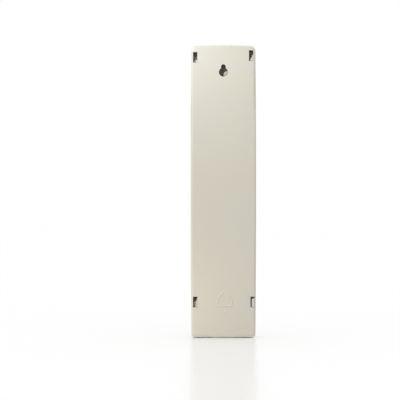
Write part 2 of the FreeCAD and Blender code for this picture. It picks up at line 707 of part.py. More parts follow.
def make_front_shell():
    body = new_body("front_shell")
    outline = facing(body, "shell_outline", "lay.shell_rear")
    add_casing_outline(outline)
    pad(body, outline, "lay.raised_depth - lay.shell_rear", "shell_pad")
    profile = sideways(body, "front_profile")
    front_profile(profile)
    cut_across(body, profile, "front_profile_cut")
    edge_limit = amount_of("lay.raised_depth - dim.crown_step - lay.chin_end_step - dim.overrun")

    def on_front(edge):
        return not is_line(edge) and all(-vertex.Point.y > edge_limit for vertex in edge.Vertexes)

    fillet(body, on_front, "dim.front_edge_radius", "front_edges")
    # hollow, rebate for the cover's lip, and the deeper pockets behind the raised areas
    hollow = facing(body, "hollow", "lay.shell_rear")
    add_casing_outline(hollow, "dim.shell_wall")
    cut(body, hollow, "lay.shell_inside - lay.shell_rear", "hollow_cut")
    rebate = facing(body, "rebate", "lay.shell_rear")
    add_casing_outline(rebate, "dim.rebate_wall")
    cut(body, rebate, "lay.lip_depth + dim.lip_clearance - lay.shell_rear", "rebate_cut")
    speaker = facing(body, "speaker_pocket", "lay.shell_inside")
    add_circle(speaker, "0", "lay.speaker_z", "dim.speaker_radius + dim.speaker_pocket_gap")
    cut(body, speaker, "dim.speaker_pocket_depth", "speaker_pocket_cut")
    chin = facing(body, "chin_pocket", "lay.shell_inside")
    chin_height = "(lay.chin_top_z - lay.chin_pocket_bottom_z)"
    add_rounded_box(chin, "0", f"lay.chin_pocket_bottom_z + {chin_height}/2", "dim.chin_pocket_width",
                    chin_height, "dim.bottom_corner_radius")
    cut(body, chin, "dim.chin_pocket_depth", "chin_pocket_cut")
    # bosses for the board and the speaker clamp, and the microphone's collar
    bosses = facing(body, "board_bosses", "lay.board_front")
    for x, z in BOARD_SCREWS:
        add_circle(bosses, x, z, "dim.boss_radius")
    pad(body, bosses, "lay.chin_inside + dim.boss_root - lay.board_front", "board_bosses_pad")
    clamp_bosses = facing(body, "clamp_bosses", "lay.magnet_back")
    for x, z in CLAMP_SCREWS:
        add_circle(clamp_bosses, x, z, "dim.boss_radius")
    pad(body, clamp_bosses, "lay.shell_inside + dim.boss_root - lay.magnet_back", "clamp_bosses_pad")
    collar = facing(body, "microphone_collar", "lay.chin_inside - dim.collar_height")
    add_circle(collar, "0", "lay.microphone_z", "lay.boot_radius + dim.collar_wall")
    add_circle(collar, "0", "lay.microphone_z", "lay.boot_radius + dim.boot_gap")
    pad(body, collar, "dim.collar_height + dim.boss_root", "microphone_collar_pad")
    pilots = facing(body, "board_pilots", "lay.board_front")
    for x, z in BOARD_SCREWS:
        add_circle(pilots, x, z, "dim.pilot_radius")
    cut(body, pilots, "dim.screw_length", "board_pilots_cut")
    clamp_pilots = facing(body, "clamp_pilots", "lay.magnet_back")
    for x, z in CLAMP_SCREWS:
        add_circle(clamp_pilots, x, z, "dim.pilot_radius")
    cut(body, clamp_pilots, "dim.screw_length", "clamp_pilots_cut")
    for side, end in WINDOWS:
        add_hook(body, side, end)
    # display recess and its opening
    recess = facing(body, "display_recess", "lay.tape_back")
    add_rounded_box(recess, "0", "lay.display_z", "dim.display_width + 2*dim.display_gap",
                    "dim.display_height + 2*dim.display_gap", "dim.display_corner_radius")
    cut(body, recess, "lay.raised_depth - lay.tape_back", "display_recess_cut")
    opening = facing(body, "display_opening", "lay.shell_inside - dim.overrun")
    add_rounded_box(opening, "0", "lay.display_z", "lay.view_width", "lay.view_height",
                    "dim.view_corner_radius")
    cut(body, opening, "dim.front_wall + dim.overrun", "display_opening_cut")
    # key bores, light hole and microphone hole
    bores = facing(body, "front_bores", "lay.shell_inside - dim.overrun")
    for name, x, z, radius in KEYS:
        add_circle(bores, x, z, f"{radius} + dim.key_clearance")
    add_circle(bores, "0", "lay.light_z", "dim.light_radius + dim.light_clearance")
    cut(body, bores, "dim.front_wall + 2*dim.overrun", "front_bores_cut")
    voice = facing(body, "microphone_hole", "lay.chin_inside - dim.overrun")
    add_circle(voice, "0", "lay.microphone_z", "dim.microphone_hole_radius")
    cut(body, voice, "dim.front_wall + 2*dim.overrun", "microphone_hole_cut")
    # speaker grille
    slot = facing(body, "grille_slot", "lay.speaker_seat - dim.overrun")
    lowest = "lay.speaker_z - dim.grille_pitch*(dim.grille_count - 1)/2"
    add_rounded_box(slot, "0", lowest, "dim.grille_slot_length", "dim.grille_slot_height",
                    "dim.grille_slot_height*dim.grille_end_share")
    grille = cut(body, slot, "dim.front_wall + 2*dim.overrun", "grille_slot_cut")
    repeat(body, grille, "Z_Axis", "dim.grille_pitch", "dim.grille_count", "grille_slots")
    # side vents, each with a raised tip at its front end
    vent = sideways(body, "vent_slot")
    half = "dim.vent_height/2"
    middle = "(dim.vent_rise - lay.half_height)"
    far = "dim.vent_depth + dim.vent_length"
    add_loop(vent, [
        (f"-({far} - {half})", f"{middle} - {half}"),
        (f"-(dim.vent_depth + {half})", f"{middle} - {half}", 1, half),
        ("-dim.vent_depth", middle, 1, half),
        (f"-(dim.vent_depth + {half})", f"{middle} + {half}"),
        (f"-({far} - dim.vent_height)", f"{middle} + {half}"),
        (f"-({far})", f"{middle} + {half} + dim.vent_tip"),
        (f"-({far})", middle, 1, half),
    ])
    vent_cut = cut_across(body, vent, "vent_slot_cut")
    repeat(body, vent_cut, "Z_Axis", "dim.vent_pitch", "dim.vent_count", "vent_slots")
    # way in for the line plug
    mouth = level(body, "socket_mouth", "-lay.half_height - dim.overrun")
    add_rounded_box(mouth, "0", "-lay.socket_middle", "dim.socket_width - 2*dim.socket_wall",
                    "dim.socket_height - 2*dim.socket_wall", "dim.mouth_corner_radius")
    cut(body, mouth, "lay.chin_pocket_bottom_z + lay.half_height + 2*dim.overrun", "socket_mouth_cut")
    return body


def make_back_cover():
    body = new_body("back_cover")
    outline = facing(body, "cover_outline", "0")
    add_casing_outline(outline)
    pad(body, outline, "dim.cover_depth", "cover_pad")
    fillet(body, lambda edge: at_depth(edge, "0"), "dim.rear_edge_radius", "rear_edges")
    hollow = facing(body, "cover_hollow", "dim.cover_wall")
    add_casing_outline(hollow, "dim.shell_wall")
    cut(body, hollow, "dim.cover_depth - dim.cover_wall", "cover_hollow_cut")
    lip = facing(body, "cover_lip", "dim.cover_wall")
    add_casing_outline(lip, "lay.lip_inset")
    add_casing_outline(lip, "lay.lip_inset + dim.lip_wall")
    pad(body, lip, "lay.lip_depth - dim.cover_wall", "cover_lip_pad")
    for side, end in WINDOWS:
        cut_window(body, side, end)
    keyhole = facing(body, "keyhole", "0")
    add_circle(keyhole, "0", "lay.keyhole_z", "dim.keyhole_head_radius")
    cut(body, keyhole, "dim.cover_wall + dim.overrun", "keyhole_cut")
    slot = facing(body, "keyhole_slot", "0")
    width = "dim.keyhole_slot_radius"
    top = "lay.keyhole_z + dim.keyhole_travel"
    add_loop(slot, [
        (f"-{width}", "lay.keyhole_z"),
        (width, "lay.keyhole_z"),
        (width, top, 1, width),
        ("0", f"{top} + {width}", 1, width),
        (f"-{width}", top),
    ])
    cut(body, slot, "dim.cover_wall + dim.overrun", "keyhole_slot_cut")
    add_mark(body)
    return body


def cut_window(body, side, end):
    """Snap window: a shallow opening, cut deep except at the ledge that the hook's nose catches."""
    name = f"{side}_{end}"
    edge = f"lay.{name}_window_x"
    inner = f"({edge} + dim.{side}_window_ledge)"
    outer = f"({edge} + dim.window_width)"
    low = f"(lay.{name}_window_z - dim.window_height/2)"
    high = f"(lay.{name}_window_z + dim.window_height/2)"
    shelf = f"({low} + dim.{name}_hook_height + 2*dim.hook_gap)"
    shallow = facing(body, f"{name}_window", "0")
    add_loop(shallow, [(edge, low), (outer, low), (outer, high), (edge, high)])
    cut(body, shallow, "dim.window_ledge_depth", f"{name}_window_cut")
    deep = facing(body, f"{name}_window_deep", "0")
    add_loop(deep, [(inner, low), (outer, low), (outer, high), (edge, high), (edge, shelf), (inner, shelf)])
    cut(body, deep, "lay.lip_depth + dim.overrun", f"{name}_window_deep_cut")


def add_mark(body):
    """Raised moulding mark: a rounded triangle ring, open at three places, with a short bar under it."""
    mark = facing(body, "mark", "0")
    middle = "dim.mark_offset"
    slope = "(sqrt(3)/2)"
    side_x = f"((dim.mark_radius - dim.mark_corner_radius)*{slope})"
    low_z = "(lay.mark_z - (dim.mark_radius - dim.mark_corner_radius)/2)"
    high_z = "(lay.mark_z + dim.mark_radius - dim.mark_corner_radius)"
    for grow in ("dim.mark_line/2", "-dim.mark_line/2"):
        radius = f"(dim.mark_corner_radius + {grow})"
        add_loop(mark, [
            (f"{middle} - {side_x}", f"{low_z} - {radius}"),
            (f"{middle} + {side_x}", f"{low_z} - {radius}", 1, radius),
            (f"{middle} + {side_x} + {radius}*{slope}", f"{low_z} + {radius}/2"),
            (f"{middle} + {radius}*{slope}", f"{high_z} + {radius}/2", 1, radius),
            (f"{middle} - {radius}*{slope}", f"{high_z} + {radius}/2"),
            (f"{middle} - {side_x} - {radius}*{slope}", f"{low_z} + {radius}/2", 1, radius),
        ])
    pad(body, mark, "dim.mark_relief", "mark_pad", back=True)
    breaks = facing(body, "mark_breaks", "-dim.mark_relief")
    base_z = f"{low_z} - dim.mark_corner_radius"
    add_box(breaks, middle, base_z, "dim.mark_break", "2*dim.mark_line")
    limb_z = "lay.mark_z + dim.mark_radius/4"
    for limb_x in (f"{middle} - dim.mark_radius/2", f"{middle} + dim.mark_radius/2"):
        add_box(breaks, limb_x, limb_z, "4*dim.mark_line", "dim.mark_break")
    cut(body, breaks, "dim.mark_relief", "mark_breaks_cut")
    bar = facing(body, "mark_bar", "0")
    bar_z = "dim.mark_bar_rise - lay.half_height"
    add_box(bar, "dim.mark_bar_offset", bar_z, "dim.mark_line", "dim.mark_bar_length")
    pad(body, bar, "dim.mark_relief", "mark_bar_pad", back=True)
    fillet(body, lambda edge: at_depth(edge, "-dim.mark_relief"), "dim.mark_rounding", "mark_crests")


# ---------------------------------------------------------------- display
def make_display():
    width, height = "dim.display_width", "dim.display_height"
    window = block("display_window", "0", "lay.display_z", width, height, "lay.display_back",
                   "dim.display_thickness", "dim.display_corner_radius")
    tape = block("window_tape", "0", "lay.display_z", width, height, "lay.tape_back",
                 "dim.tape_thickness", "dim.display_corner_radius")
    hole = facing(tape, "tape_hole", "lay.tape_back - dim.overrun")
    add_rounded_box(hole, "0", "lay.display_z", f"{width} - 2*dim.tape_width",
                    f"{height} - 2*dim.tape_width", "dim.view_corner_radius")
    cut(tape, hole, "dim.tape_thickness + 2*dim.overrun", "tape_hole_cut")
    width, height = "dim.panel_width", "dim.panel_height"
    panel = ("0", "lay.display_z", width, height)
    gasket = block("panel_gasket", *panel, "lay.gasket_back", "dim.gasket_thickness")
    hole = facing(gasket, "gasket_hole", "lay.gasket_back - dim.overrun")
    add_box(hole, "0", "lay.display_z", f"{width} - 2*dim.gasket_width", f"{height} - 2*dim.gasket_width")
    cut(gasket, hole, "dim.gasket_thickness + 2*dim.overrun", "gasket_hole_cut")
    block("lcd_panel", *panel, "lay.panel_back", "dim.panel_thickness")
    block("lcd_backlight", *panel, "lay.backlight_back", "dim.backlight_thickness")
    outer = "2*dim.holder_gap + 2*dim.holder_wall"
    holder = block("lcd_holder", "0", "lay.display_z", f"{width} + {outer}", f"{height} + {outer}",
                   "lay.board_front", "lay.gasket_back - lay.board_front", "dim.holder_corner_radius")
    tray = facing(holder, "holder_tray", "lay.backlight_back")
    add_box(tray, "0", "lay.display_z", f"{width} + 2*dim.holder_gap", f"{height} + 2*dim.holder_gap")
    cut(holder, tray, "lay.raised_depth", "holder_tray_cut")
    relief = facing(holder, "holder_relief", "lay.board_front - dim.overrun")
    add_box(relief, "0", "lay.display_z", f"{width} - 2*dim.holder_rim", f"{height} - 2*dim.holder_rim")
    cut(holder, relief, "dim.holder_foot + dim.overrun", "holder_relief_cut")
    gate = facing(holder, "holder_gate", "lay.board_front - dim.overrun")
    gate_z = f"lay.display_z - {height}/2 - dim.holder_wall"
    add_box(gate, "0", gate_z, "dim.ribbon_width + 2*dim.ribbon_clearance", "3*dim.holder_wall")
    cut(holder, gate, "lay.raised_depth", "holder_gate_cut")


def make_ribbon():
    """Flat cable from the lower edge of the panel, round a bend, to its connector on the board."""
    body = new_body("lcd_ribbon")
    sketch = sideways(body, "ribbon_profile", "-dim.ribbon_width/2")
    thick = "dim.ribbon_thickness"
    bend = "dim.ribbon_bend"
    edge_z = "(lay.display_z - dim.panel_height/2)"
    far_z = f"({edge_z} - dim.ribbon_reach)"
    top = "(lay.panel_back + dim.ribbon_seat)"
    end = "(lay.board_front + dim.connector_thickness)"
    add_loop(sketch, [
        (f"-{top}", edge_z),
        (f"-{top}", f"{far_z} + {bend}", 1, bend),
        (f"-({top} - {bend})", far_z),
        (f"-{end}", far_z),
        (f"-{end}", f"{far_z} + {thick}"),
        (f"-({top} - {bend})", f"{far_z} + {thick}", -1, f"{bend} - {thick}"),
        (f"-({top} - {thick})", f"{far_z} + {bend}"),
        (f"-({top} - {thick})", edge_z),
    ])
    pad(body, sketch, "dim.ribbon_width", "ribbon_pad")
    block("ribbon_connector", "0", f"{far_z} + {thick}/2", "dim.ribbon_width + 2*dim.connector_lug",
          "dim.connector_height", "lay.board_front", "dim.connector_thickness")


# ---------------------------------------------------------------- board and what is on it
def make_board():
    board = block("main_board", "0", "lay.board_z", "dim.board_width", "lay.board_height", "lay.board_back",
                  "dim.board_thickness", "dim.board_corner_radius")
    holes = facing(board, "board_holes", "lay.board_back - dim.overrun")
    for x, z in BOARD_SCREWS:
        add_circle(holes, x, z, "dim.screw_hole_radius")
    cut(board, holes, "dim.board_thickness + 2*dim.overrun", "board_holes_cut")


def make_screws(label, places, seat):
    """Pan-head screws driven from the rear: heads behind the seat depth, shanks in front of it."""
    body = new_body(label)
    heads = facing(body, label + "_heads", f"{seat} - dim.screw_head_height")
    for x, z in places:
        add_circle(heads, x, z, "dim.screw_head_radius")
    pad(body, heads, "dim.screw_head_height", label + "_heads_pad")
    crown = f"{seat} - dim.screw_head_height"
    fillet(body, lambda edge: at_depth(edge, crown), "dim.screw_crown", label + "_crowns")
    shanks = facing(body, label + "_shanks", seat)
    for x, z in places:
        add_circle(shanks, x, z, "dim.pilot_radius")
    pad(body, shanks, "dim.screw_length", label + "_shanks_pad")
    bars = [("dim.cross_width", "dim.cross_length"), ("dim.cross_length", "dim.cross_width")]
    for arm, (width, height) in enumerate(bars):
        cross = facing(body, f"{label}_cross_{arm}", f"{seat} - dim.screw_head_height")
        for x, z in places:
            add_box(cross, x, z, width, height)
        cut(body, cross, "dim.screw_recess", f"{label}_cross_{arm}_cut")


def make_chip(label, x, z, width, height):
    top = "lay.board_back - dim.chip_thickness"
    chip = block(label, x, z, width, height, top, "dim.chip_thickness")
    fillet(chip, lambda edge: at_depth(edge, top), "dim.chip_edge", label + "_edge")


def make_components():
    side = "dim.processor_side"
    make_chip("processor_chip", "0", "dim.processor_rise - lay.half_height", side, side)
    make_chip("memory_chip", "0", "dim.memory_rise - lay.half_height", "dim.memory_width",
              "dim.memory_height")
    side = "dim.amplifier_side"
    make_chip("amplifier_chip", "0", "dim.amplifier_rise - lay.half_height", side, side)
    make_chip("crystal", "dim.processor_side/2 + dim.crystal_gap", "dim.processor_rise - lay.half_height",
              "dim.crystal_width", "dim.crystal_height")
    capacitors = new_body("capacitors")
    top = "lay.board_back - dim.capacitor_height"
    cans = facing(capacitors, "capacitor_cans", top)
    can_z = "dim.capacitor_rise - lay.half_height"
    for number in range(int(amount_of("dim.capacitor_count"))):
        can_x = f"dim.capacitor_pitch*({number} - (dim.capacitor_count - 1)/2)"
        add_circle(cans, can_x, can_z, "dim.capacitor_radius")
    pad(capacitors, cans, "dim.capacitor_height", "capacitor_cans_pad")
    fillet(capacitors, lambda edge: at_depth(edge, top), "dim.capacitor_edge", "can_edges")
    base = "lay.board_back - dim.inductor_height"
    inductor = block("inductor", "0", "dim.inductor_rise - lay.half_height", "dim.inductor_side",
                     "dim.inductor_side", base, "dim.inductor_height", "dim.inductor_corner_radius")
    fillet(inductor, lambda edge: at_depth(edge, base), "dim.inductor_edge", "inductor_edges")


# ---------------------------------------------------------------- loudspeaker
def make_speaker():
    place = ("0", "lay.speaker_z")
    gasket = disc("speaker_gasket", *place, "dim.speaker_radius", "lay.speaker_front",
                  "dim.speaker_gasket_thickness")
    hole = facing(gasket, "speaker_gasket_hole", "lay.speaker_front - dim.overrun")
    add_circle(hole, *place, "dim.speaker_radius - dim.gasket_width")
    cut(gasket, hole, "dim.speaker_gasket_thickness + 2*dim.overrun", "speaker_gasket_hole_cut")
    # stamped basket: a flat rim and a stepped pan, open towards the front
    basket = disc("speaker_basket", *place, "dim.speaker_radius", "lay.rim_back", "dim.speaker_rim")
    pan = facing(basket, "basket_pan", "lay.basket_back")
    add_circle(pan, *place, "dim.basket_radius")
    pad(basket, pan, "dim.basket_depth", "basket_pan_pad")
    room = facing(basket, "basket_room", "lay.basket_back + dim.speaker_rim")
    add_circle(room, *place, "dim.basket_radius - dim.speaker_rim")
    cut(basket, room, "dim.basket_depth + dim.overrun", "basket_room_cut")
    fillet(basket, lambda edge: at_depth(edge, "lay.basket_back"), "dim.basket_edge", "basket_edges")
    # cone with its rolled surround, seen through the grille
    cone = new_body("speaker_cone")
    profile = sideways(cone, "cone_profile")
    front = "lay.speaker_front"
    axis_z = "lay.speaker_z"
    rim = f"{axis_z} + dim.speaker_radius - dim.gasket_width - dim.surround_gap"
    roll = f"{axis_z} + dim.basket_radius - dim.speaker_rim - dim.cone_gap"
    neck = f"{front} - dim.cone_depth"
    add_loop(profile, [
        (f"-({front} + dim.surround_rise)", rim),
        (f"-({front} + dim.surround_rise)", f"{roll} - dim.cone_gap"),
        (f"-({neck})", f"{axis_z} + dim.cap_radius"),
        (f"-({neck} + dim.cap_rise)", axis_z),
        (f"-({neck} + dim.cap_rise - dim.cone_thickness)", axis_z),
        (f"-({neck} - dim.cone_thickness)", f"{axis_z} + dim.cap_radius"),
        (f"-({front} - dim.cone_thickness)", f"{roll} - dim.cone_gap - dim.cone_thickness"),
        (f"-({front})", roll),
        (f"-({front})", rim),
    ])
    add_axis(profile, axis_z)
    turn = cone.newObject("PartDesign::Revolution", "cone_turn")
    turn.Profile = profile
    turn.ReferenceAxis = (profile, ["Axis0"])
    turn.Angle = 360
    disc("speaker_magnet", *place, "dim.magnet_radius", "lay.magnet_back", "dim.magnet_thickness")
    clamp = block("speaker_clamp", "0", "lay.clamp_z", "dim.screw_spacing + 2*dim.boss_radius",
                  "dim.clamp_height", "lay.clamp_back", "dim.clamp_thickness", "dim.boss_radius")
    post = facing(clamp, "clamp_pad", "dim.clamp_pad_depth")
    add_circle(post, "-dim.clamp_pad_offset", "lay.keyhole_z - dim.clamp_pad_drop", "dim.clamp_pad_radius")
    pad(clamp, post, "lay.magnet_back - dim.clamp_pad_depth", "clamp_pad_pad")
    holes = facing(clamp, "clamp_holes", "lay.clamp_back - dim.overrun")
    for x, z in CLAMP_SCREWS:
        add_circle(holes, x, z, "dim.screw_hole_radius")
    cut(clamp, holes, "dim.clamp_thickness + 2*dim.overrun", "clamp_holes_cut")


def add_axis(sketch, height):
    """Construction line across the sketch, used as the axis of a turned feature."""
    far = "-lay.raised_depth"
    z = amount_of(height)
    index = sketch.addGeometry(Part.LineSegment(Vector(amount_of(far), z, 0), Vector(0, z, 0)), True)
    pin_point(sketch, index, 1, far, height)
    pin_point(sketch, index, 2, "0", height)


# ---------------------------------------------------------------- keys, light and microphone
def make_key(name, x, z, radius):
    key = disc(f"{name}_button", x, z, radius, "lay.flange_front", "lay.key_front - lay.flange_front")
    fillet(key, lambda edge: at_depth(edge, "lay.key_front"), "dim.key_edge_radius", f"{name}_edge")
    flange = facing(key, f"{name}_flange", "lay.flange_back")
    add_circle(flange, x, z, f"{radius} + dim.key_flange")
    pad(key, flange, "dim.key_flange_thickness", f"{name}_flange_pad")
    stem = facing(key, f"{name}_stem", "lay.plunger_front")
    add_circle(stem, x, z, "dim.key_stem_radius")
    pad(key, stem, "lay.flange_back - lay.plunger_front", f"{name}_stem_pad")
    side = "dim.switch_side"
    switch = block(f"{name}_switch", x, z, side, side, "lay.board_front", "dim.switch_height")
    bore = facing(switch, f"{name}_bore", "lay.switch_front - dim.switch_bore_depth")
    add_circle(bore, x, z, "dim.switch_bore_radius")
    cut(switch, bore, "dim.switch_bore_depth + dim.overrun", f"{name}_bore_cut")
    disc(f"{name}_plunger", x, z, "dim.plunger_radius", "lay.switch_front - dim.plunger_root",
         "dim.plunger_rise + dim.plunger_root")


def make_light():
    back = "lay.board_front + dim.led_height + dim.light_gap"
    pipe = disc("light_pipe", "0", "lay.light_z", "dim.light_radius", back, f"dim.face_depth - ({back})")
    flange = facing(pipe, "light_flange", "lay.shell_inside - dim.light_flange_thickness")
    add_circle(flange, "0", "lay.light_z", "dim.light_flange_radius")
    pad(pipe, flange, "dim.light_flange_thickness", "light_flange_pad")
    side = "dim.led_side"
    block("status_led", "0", "lay.light_z", side, side, "lay.board_front", "dim.led_height")


def make_microphone():
    place = ("0", "lay.microphone_z")
    disc("microphone_capsule", *place, "dim.microphone_radius", "lay.boot_back", "dim.microphone_height")
    boot = disc("microphone_boot", *place, "lay.boot_radius", "lay.boot_back",
                "dim.microphone_height + dim.boot_floor")
    room = facing(boot, "boot_room", "lay.boot_back - dim.overrun")
    add_circle(room, *place, "dim.microphone_radius")
    cut(boot, room, "dim.microphone_height + dim.overrun", "boot_room_cut")
    voice = facing(boot, "boot_hole", "lay.boot_back - dim.overrun")
    add_circle(voice, *place, "dim.microphone_hole_radius")
    cut(boot, voice, "dim.microphone_height + dim.boot_floor + 2*dim.overrun", "boot_hole_cut")


# ---------------------------------------------------------------- line socket and speaker leads
def make_socket():
    housing = block("line_socket", "0", "(lay.socket_mouth_z + lay.socket_back_z)/2", "dim.socket_width",
                    "dim.socket_length", "lay.board_front", "dim.socket_height")
    room = level(housing, "socket_room", "lay.socket_mouth_z")
    add_box(room, "0", "-lay.socket_middle", "dim.socket_width - 2*dim.socket_wall",
            "dim.socket_height - 2*dim.socket_wall")
    cut(housing, room, "dim.socket_length - dim.socket_floor", "socket_room_cut")
    contacts = new_body("line_contacts")
    root = "lay.socket_back_z - dim.socket_floor"
    pins = level(contacts, "contact_pins", root)
    for number in range(int(amount_of("dim.contact_count"))):
        x = f"dim.contact_pitch*({number} - (dim.contact_count - 1)/2)"
        add_box(pins, x, "-lay.socket_middle", "dim.contact_side", "dim.contact_side")
    pad(contacts, pins, "dim.contact_length", "contact_pins_pad", back=True)


def make_leads():
    """Two wires from the speaker basket's edge down to their plug on the front of the board."""
    plug_z = "(lay.board_top_z - dim.plug_height)"
    block("speaker_plug", "dim.lead_offset", plug_z, "dim.plug_width", "dim.plug_height", "lay.board_front",
          "dim.plug_thickness")
    leads = new_body("speaker_leads")
    edge_x = "(dim.lead_offset - dim.lead_pitch/2)"
    start_z = f"(lay.speaker_z - sqrt(dim.basket_radius^2 - {edge_x}^2) - dim.lead_gap)"
    start_depth = "(lay.basket_back + dim.basket_depth/2)"
    end_depth = "(lay.board_front + dim.plug_thickness/2)"
    end_z = f"({plug_z} + dim.plug_height/2)"
    drop = f"({start_z} - {end_z})"
    corners = [
        (start_depth, start_z),
        (start_depth, f"({end_z} + {drop}*dim.lead_upper_bend)"),
        (end_depth, f"({end_z} + {drop}*dim.lead_lower_bend)"),
        (end_depth, end_z),
    ]
    path = sideways(leads, "lead_path", edge_x)
    add_route(path, [Vector(-amount_of(depth), amount_of(z), 0) for depth, z in corners])
    section = level(leads, "lead_section", start_z)
    add_circle(section, edge_x, f"-{start_depth}", "dim.lead_radius")
    wire = leads.newObject("PartDesign::AdditivePipe", "lead_pipe")
    wire.Profile = section
    wire.Spine = (path, [f"Edge{n}" for n in range(1, path.GeometryCount + 1)])
    doc.recompute()
    repeat(leads, wire, "X_Axis", "dim.lead_pitch", "dim.lead_count", "lead_pair")


def add_route(sketch, corners):
    """Open path of straight runs joined by tangent arcs, each as large as its two runs allow."""
    arc_share = 0.45
    here = corners[0]
    for before, corner, after in zip(corners, corners[1:], corners[2:]):
        arriving = (corner - before).normalize()
        leaving = (after - corner).normalize()
        setback = arc_share * min((corner - before).Length, (after - corner).Length)
        begin = corner - arriving * setback
        finish = corner + leaving * setback
        radius = setback / math.tan(arriving.getAngle(leaving) / 2)
        turn = 1 if arriving.cross(leaving).z > 0 else -1
        sketch.addGeometry(Part.LineSegment(here, begin))
        sketch.addGeometry(arc_between(begin, finish, radius, turn))
        here = finish
    sketch.addGeometry(Part.LineSegment(here, corners[-1]))


make_front_shell()
make_back_cover()
make_display()
make_ribbon()
make_board()
make_screws("board_screws", BOARD_SCREWS, "lay.board_back")
make_screws("clamp_screws", CLAMP_SCREWS, "lay.clamp_back")
make_components()
make_speaker()
for key in KEYS:
    make_key(*key)
make_light()
make_microphone()
make_socket()
make_leads()

# ---------------------------------------------------------------- checks and export
doc.recompute()
for item in doc.Objects:
    if "Invalid" in item.State or "Error" in item.State:
        raise RuntimeError(f"{item.Label} failed: {item.State}")
bodies = [item for item in doc.Objects if item.TypeId == "PartDesign::Body"]
for body in bodies:
    if body.Shape.isNull() or not body.Shape.isValid() or not body.Shape.Solids:
        raise RuntimeError(f"{body.Label} has no valid shape")
os.makedirs("parts", exist_ok=True)
for body in bodies:
    body.Shape.exportStep(f"parts/{body.Label}.step")
    print(f"{body.Label:20s} solids {len(body.Shape.Solids):2d}  volume {body.Shape.Volume:10.1f}")
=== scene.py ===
import math
import bpy
import bmesh
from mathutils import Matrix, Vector


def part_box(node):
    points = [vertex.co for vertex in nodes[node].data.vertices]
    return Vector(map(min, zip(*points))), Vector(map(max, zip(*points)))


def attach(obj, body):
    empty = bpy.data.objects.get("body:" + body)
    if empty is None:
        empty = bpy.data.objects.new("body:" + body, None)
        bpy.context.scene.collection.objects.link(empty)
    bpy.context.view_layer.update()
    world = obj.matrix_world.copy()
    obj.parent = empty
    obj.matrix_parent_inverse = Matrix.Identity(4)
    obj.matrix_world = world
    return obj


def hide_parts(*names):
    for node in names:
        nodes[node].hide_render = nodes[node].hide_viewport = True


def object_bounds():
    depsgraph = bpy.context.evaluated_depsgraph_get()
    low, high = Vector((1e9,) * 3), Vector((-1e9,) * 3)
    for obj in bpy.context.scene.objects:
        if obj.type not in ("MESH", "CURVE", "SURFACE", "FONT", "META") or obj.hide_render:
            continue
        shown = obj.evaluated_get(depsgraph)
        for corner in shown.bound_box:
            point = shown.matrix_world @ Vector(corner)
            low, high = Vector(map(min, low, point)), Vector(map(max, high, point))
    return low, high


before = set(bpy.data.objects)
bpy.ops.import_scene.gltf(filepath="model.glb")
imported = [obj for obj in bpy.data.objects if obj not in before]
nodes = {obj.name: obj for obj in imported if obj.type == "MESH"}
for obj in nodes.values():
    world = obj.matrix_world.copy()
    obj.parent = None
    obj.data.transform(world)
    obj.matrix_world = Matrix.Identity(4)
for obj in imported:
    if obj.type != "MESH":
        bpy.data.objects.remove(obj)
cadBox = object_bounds()
mm = 0.001
print("frame loaded with", len(nodes), "nodes")


# helpers for node materials, all on Object coordinates
# in a finish, roughness is the plain value and sheen the two limits that a noise varies it between,
# a pattern is a noise's scale and detail, edges are where a pattern starts and is full,
# and a bump is its strength and its height

def startMaterial(name, finish):
    material = bpy.data.materials.new(name)
    material.use_nodes = True
    tree = material.node_tree
    shader = tree.nodes["Principled BSDF"]
    shader.inputs["Base Color"].default_value = (*finish["colour"], 1)
    shader.inputs["Roughness"].default_value = finish["roughness"]
    shader.inputs["Metallic"].default_value = finish.get("metallic", 0)
    return material, tree, shader


def addPlace(tree, stretch=(1, 1, 1)):
    coordinates = tree.nodes.new("ShaderNodeTexCoord")
    mapping = tree.nodes.new("ShaderNodeMapping")
    mapping.inputs["Scale"].default_value = stretch
    tree.links.new(coordinates.outputs["Object"], mapping.inputs["Vector"])
    return mapping.outputs["Vector"]


def addAxes(tree):
    axes = tree.nodes.new("ShaderNodeSeparateXYZ")
    tree.links.new(addPlace(tree), axes.inputs["Vector"])
    return axes.outputs


def addNoise(tree, place, scale, detail):
    noise = tree.nodes.new("ShaderNodeTexNoise")
    noise.inputs["Scale"].default_value = scale
    noise.inputs["Detail"].default_value = detail
    tree.links.new(place, noise.inputs["Vector"])
    return noise.outputs["Fac"]


def addCells(tree, place, scale):
    cells = tree.nodes.new("ShaderNodeTexVoronoi")
    cells.inputs["Scale"].default_value = scale
    tree.links.new(place, cells.inputs["Vector"])
    return cells


def addOpenness(tree, distance, rays=6):
    openness = tree.nodes.new("ShaderNodeAmbientOcclusion")
    openness.samples = rays
    openness.inputs["Distance"].default_value = distance
    return openness.outputs["AO"]


def addRange(tree, value, low, high, fromLow=0.3, fromHigh=0.7):
    remap = tree.nodes.new("ShaderNodeMapRange")
    remap.inputs["From Min"].default_value = fromLow
    remap.inputs["From Max"].default_value = fromHigh
    remap.inputs["To Min"].default_value = low
    remap.inputs["To Max"].default_value = high
    tree.links.new(value, remap.inputs["Value"])
    return remap.outputs["Result"]


def addProduct(tree, first, second):
    product = tree.nodes.new("ShaderNodeMath")
    product.operation = "MULTIPLY"
    tree.links.new(first, product.inputs[0])
    tree.links.new(second, product.inputs[1])
    return product.outputs["Value"]


def addInside(tree, value, low, high, soft):
    rise = addRange(tree, value, 0, 1, low - soft, low + soft)
    fall = addRange(tree, value, 1, 0, high - soft, high + soft)
    return addProduct(tree, rise, fall)


def addMix(tree, factor, first, second):
    mix = tree.nodes.new("ShaderNodeMix")
    mix.data_type = "RGBA"
    tree.links.new(factor, mix.inputs["Factor"])
    for socket, colour in (("A", first), ("B", second)):
        target = [item for item in mix.inputs if item.name == socket and item.type == "RGBA"][0]
        if isinstance(colour, tuple):
            target.default_value = (*colour, 1)
        else:
            tree.links.new(colour, target)
    return [item for item in mix.outputs if item.type == "RGBA"][0]


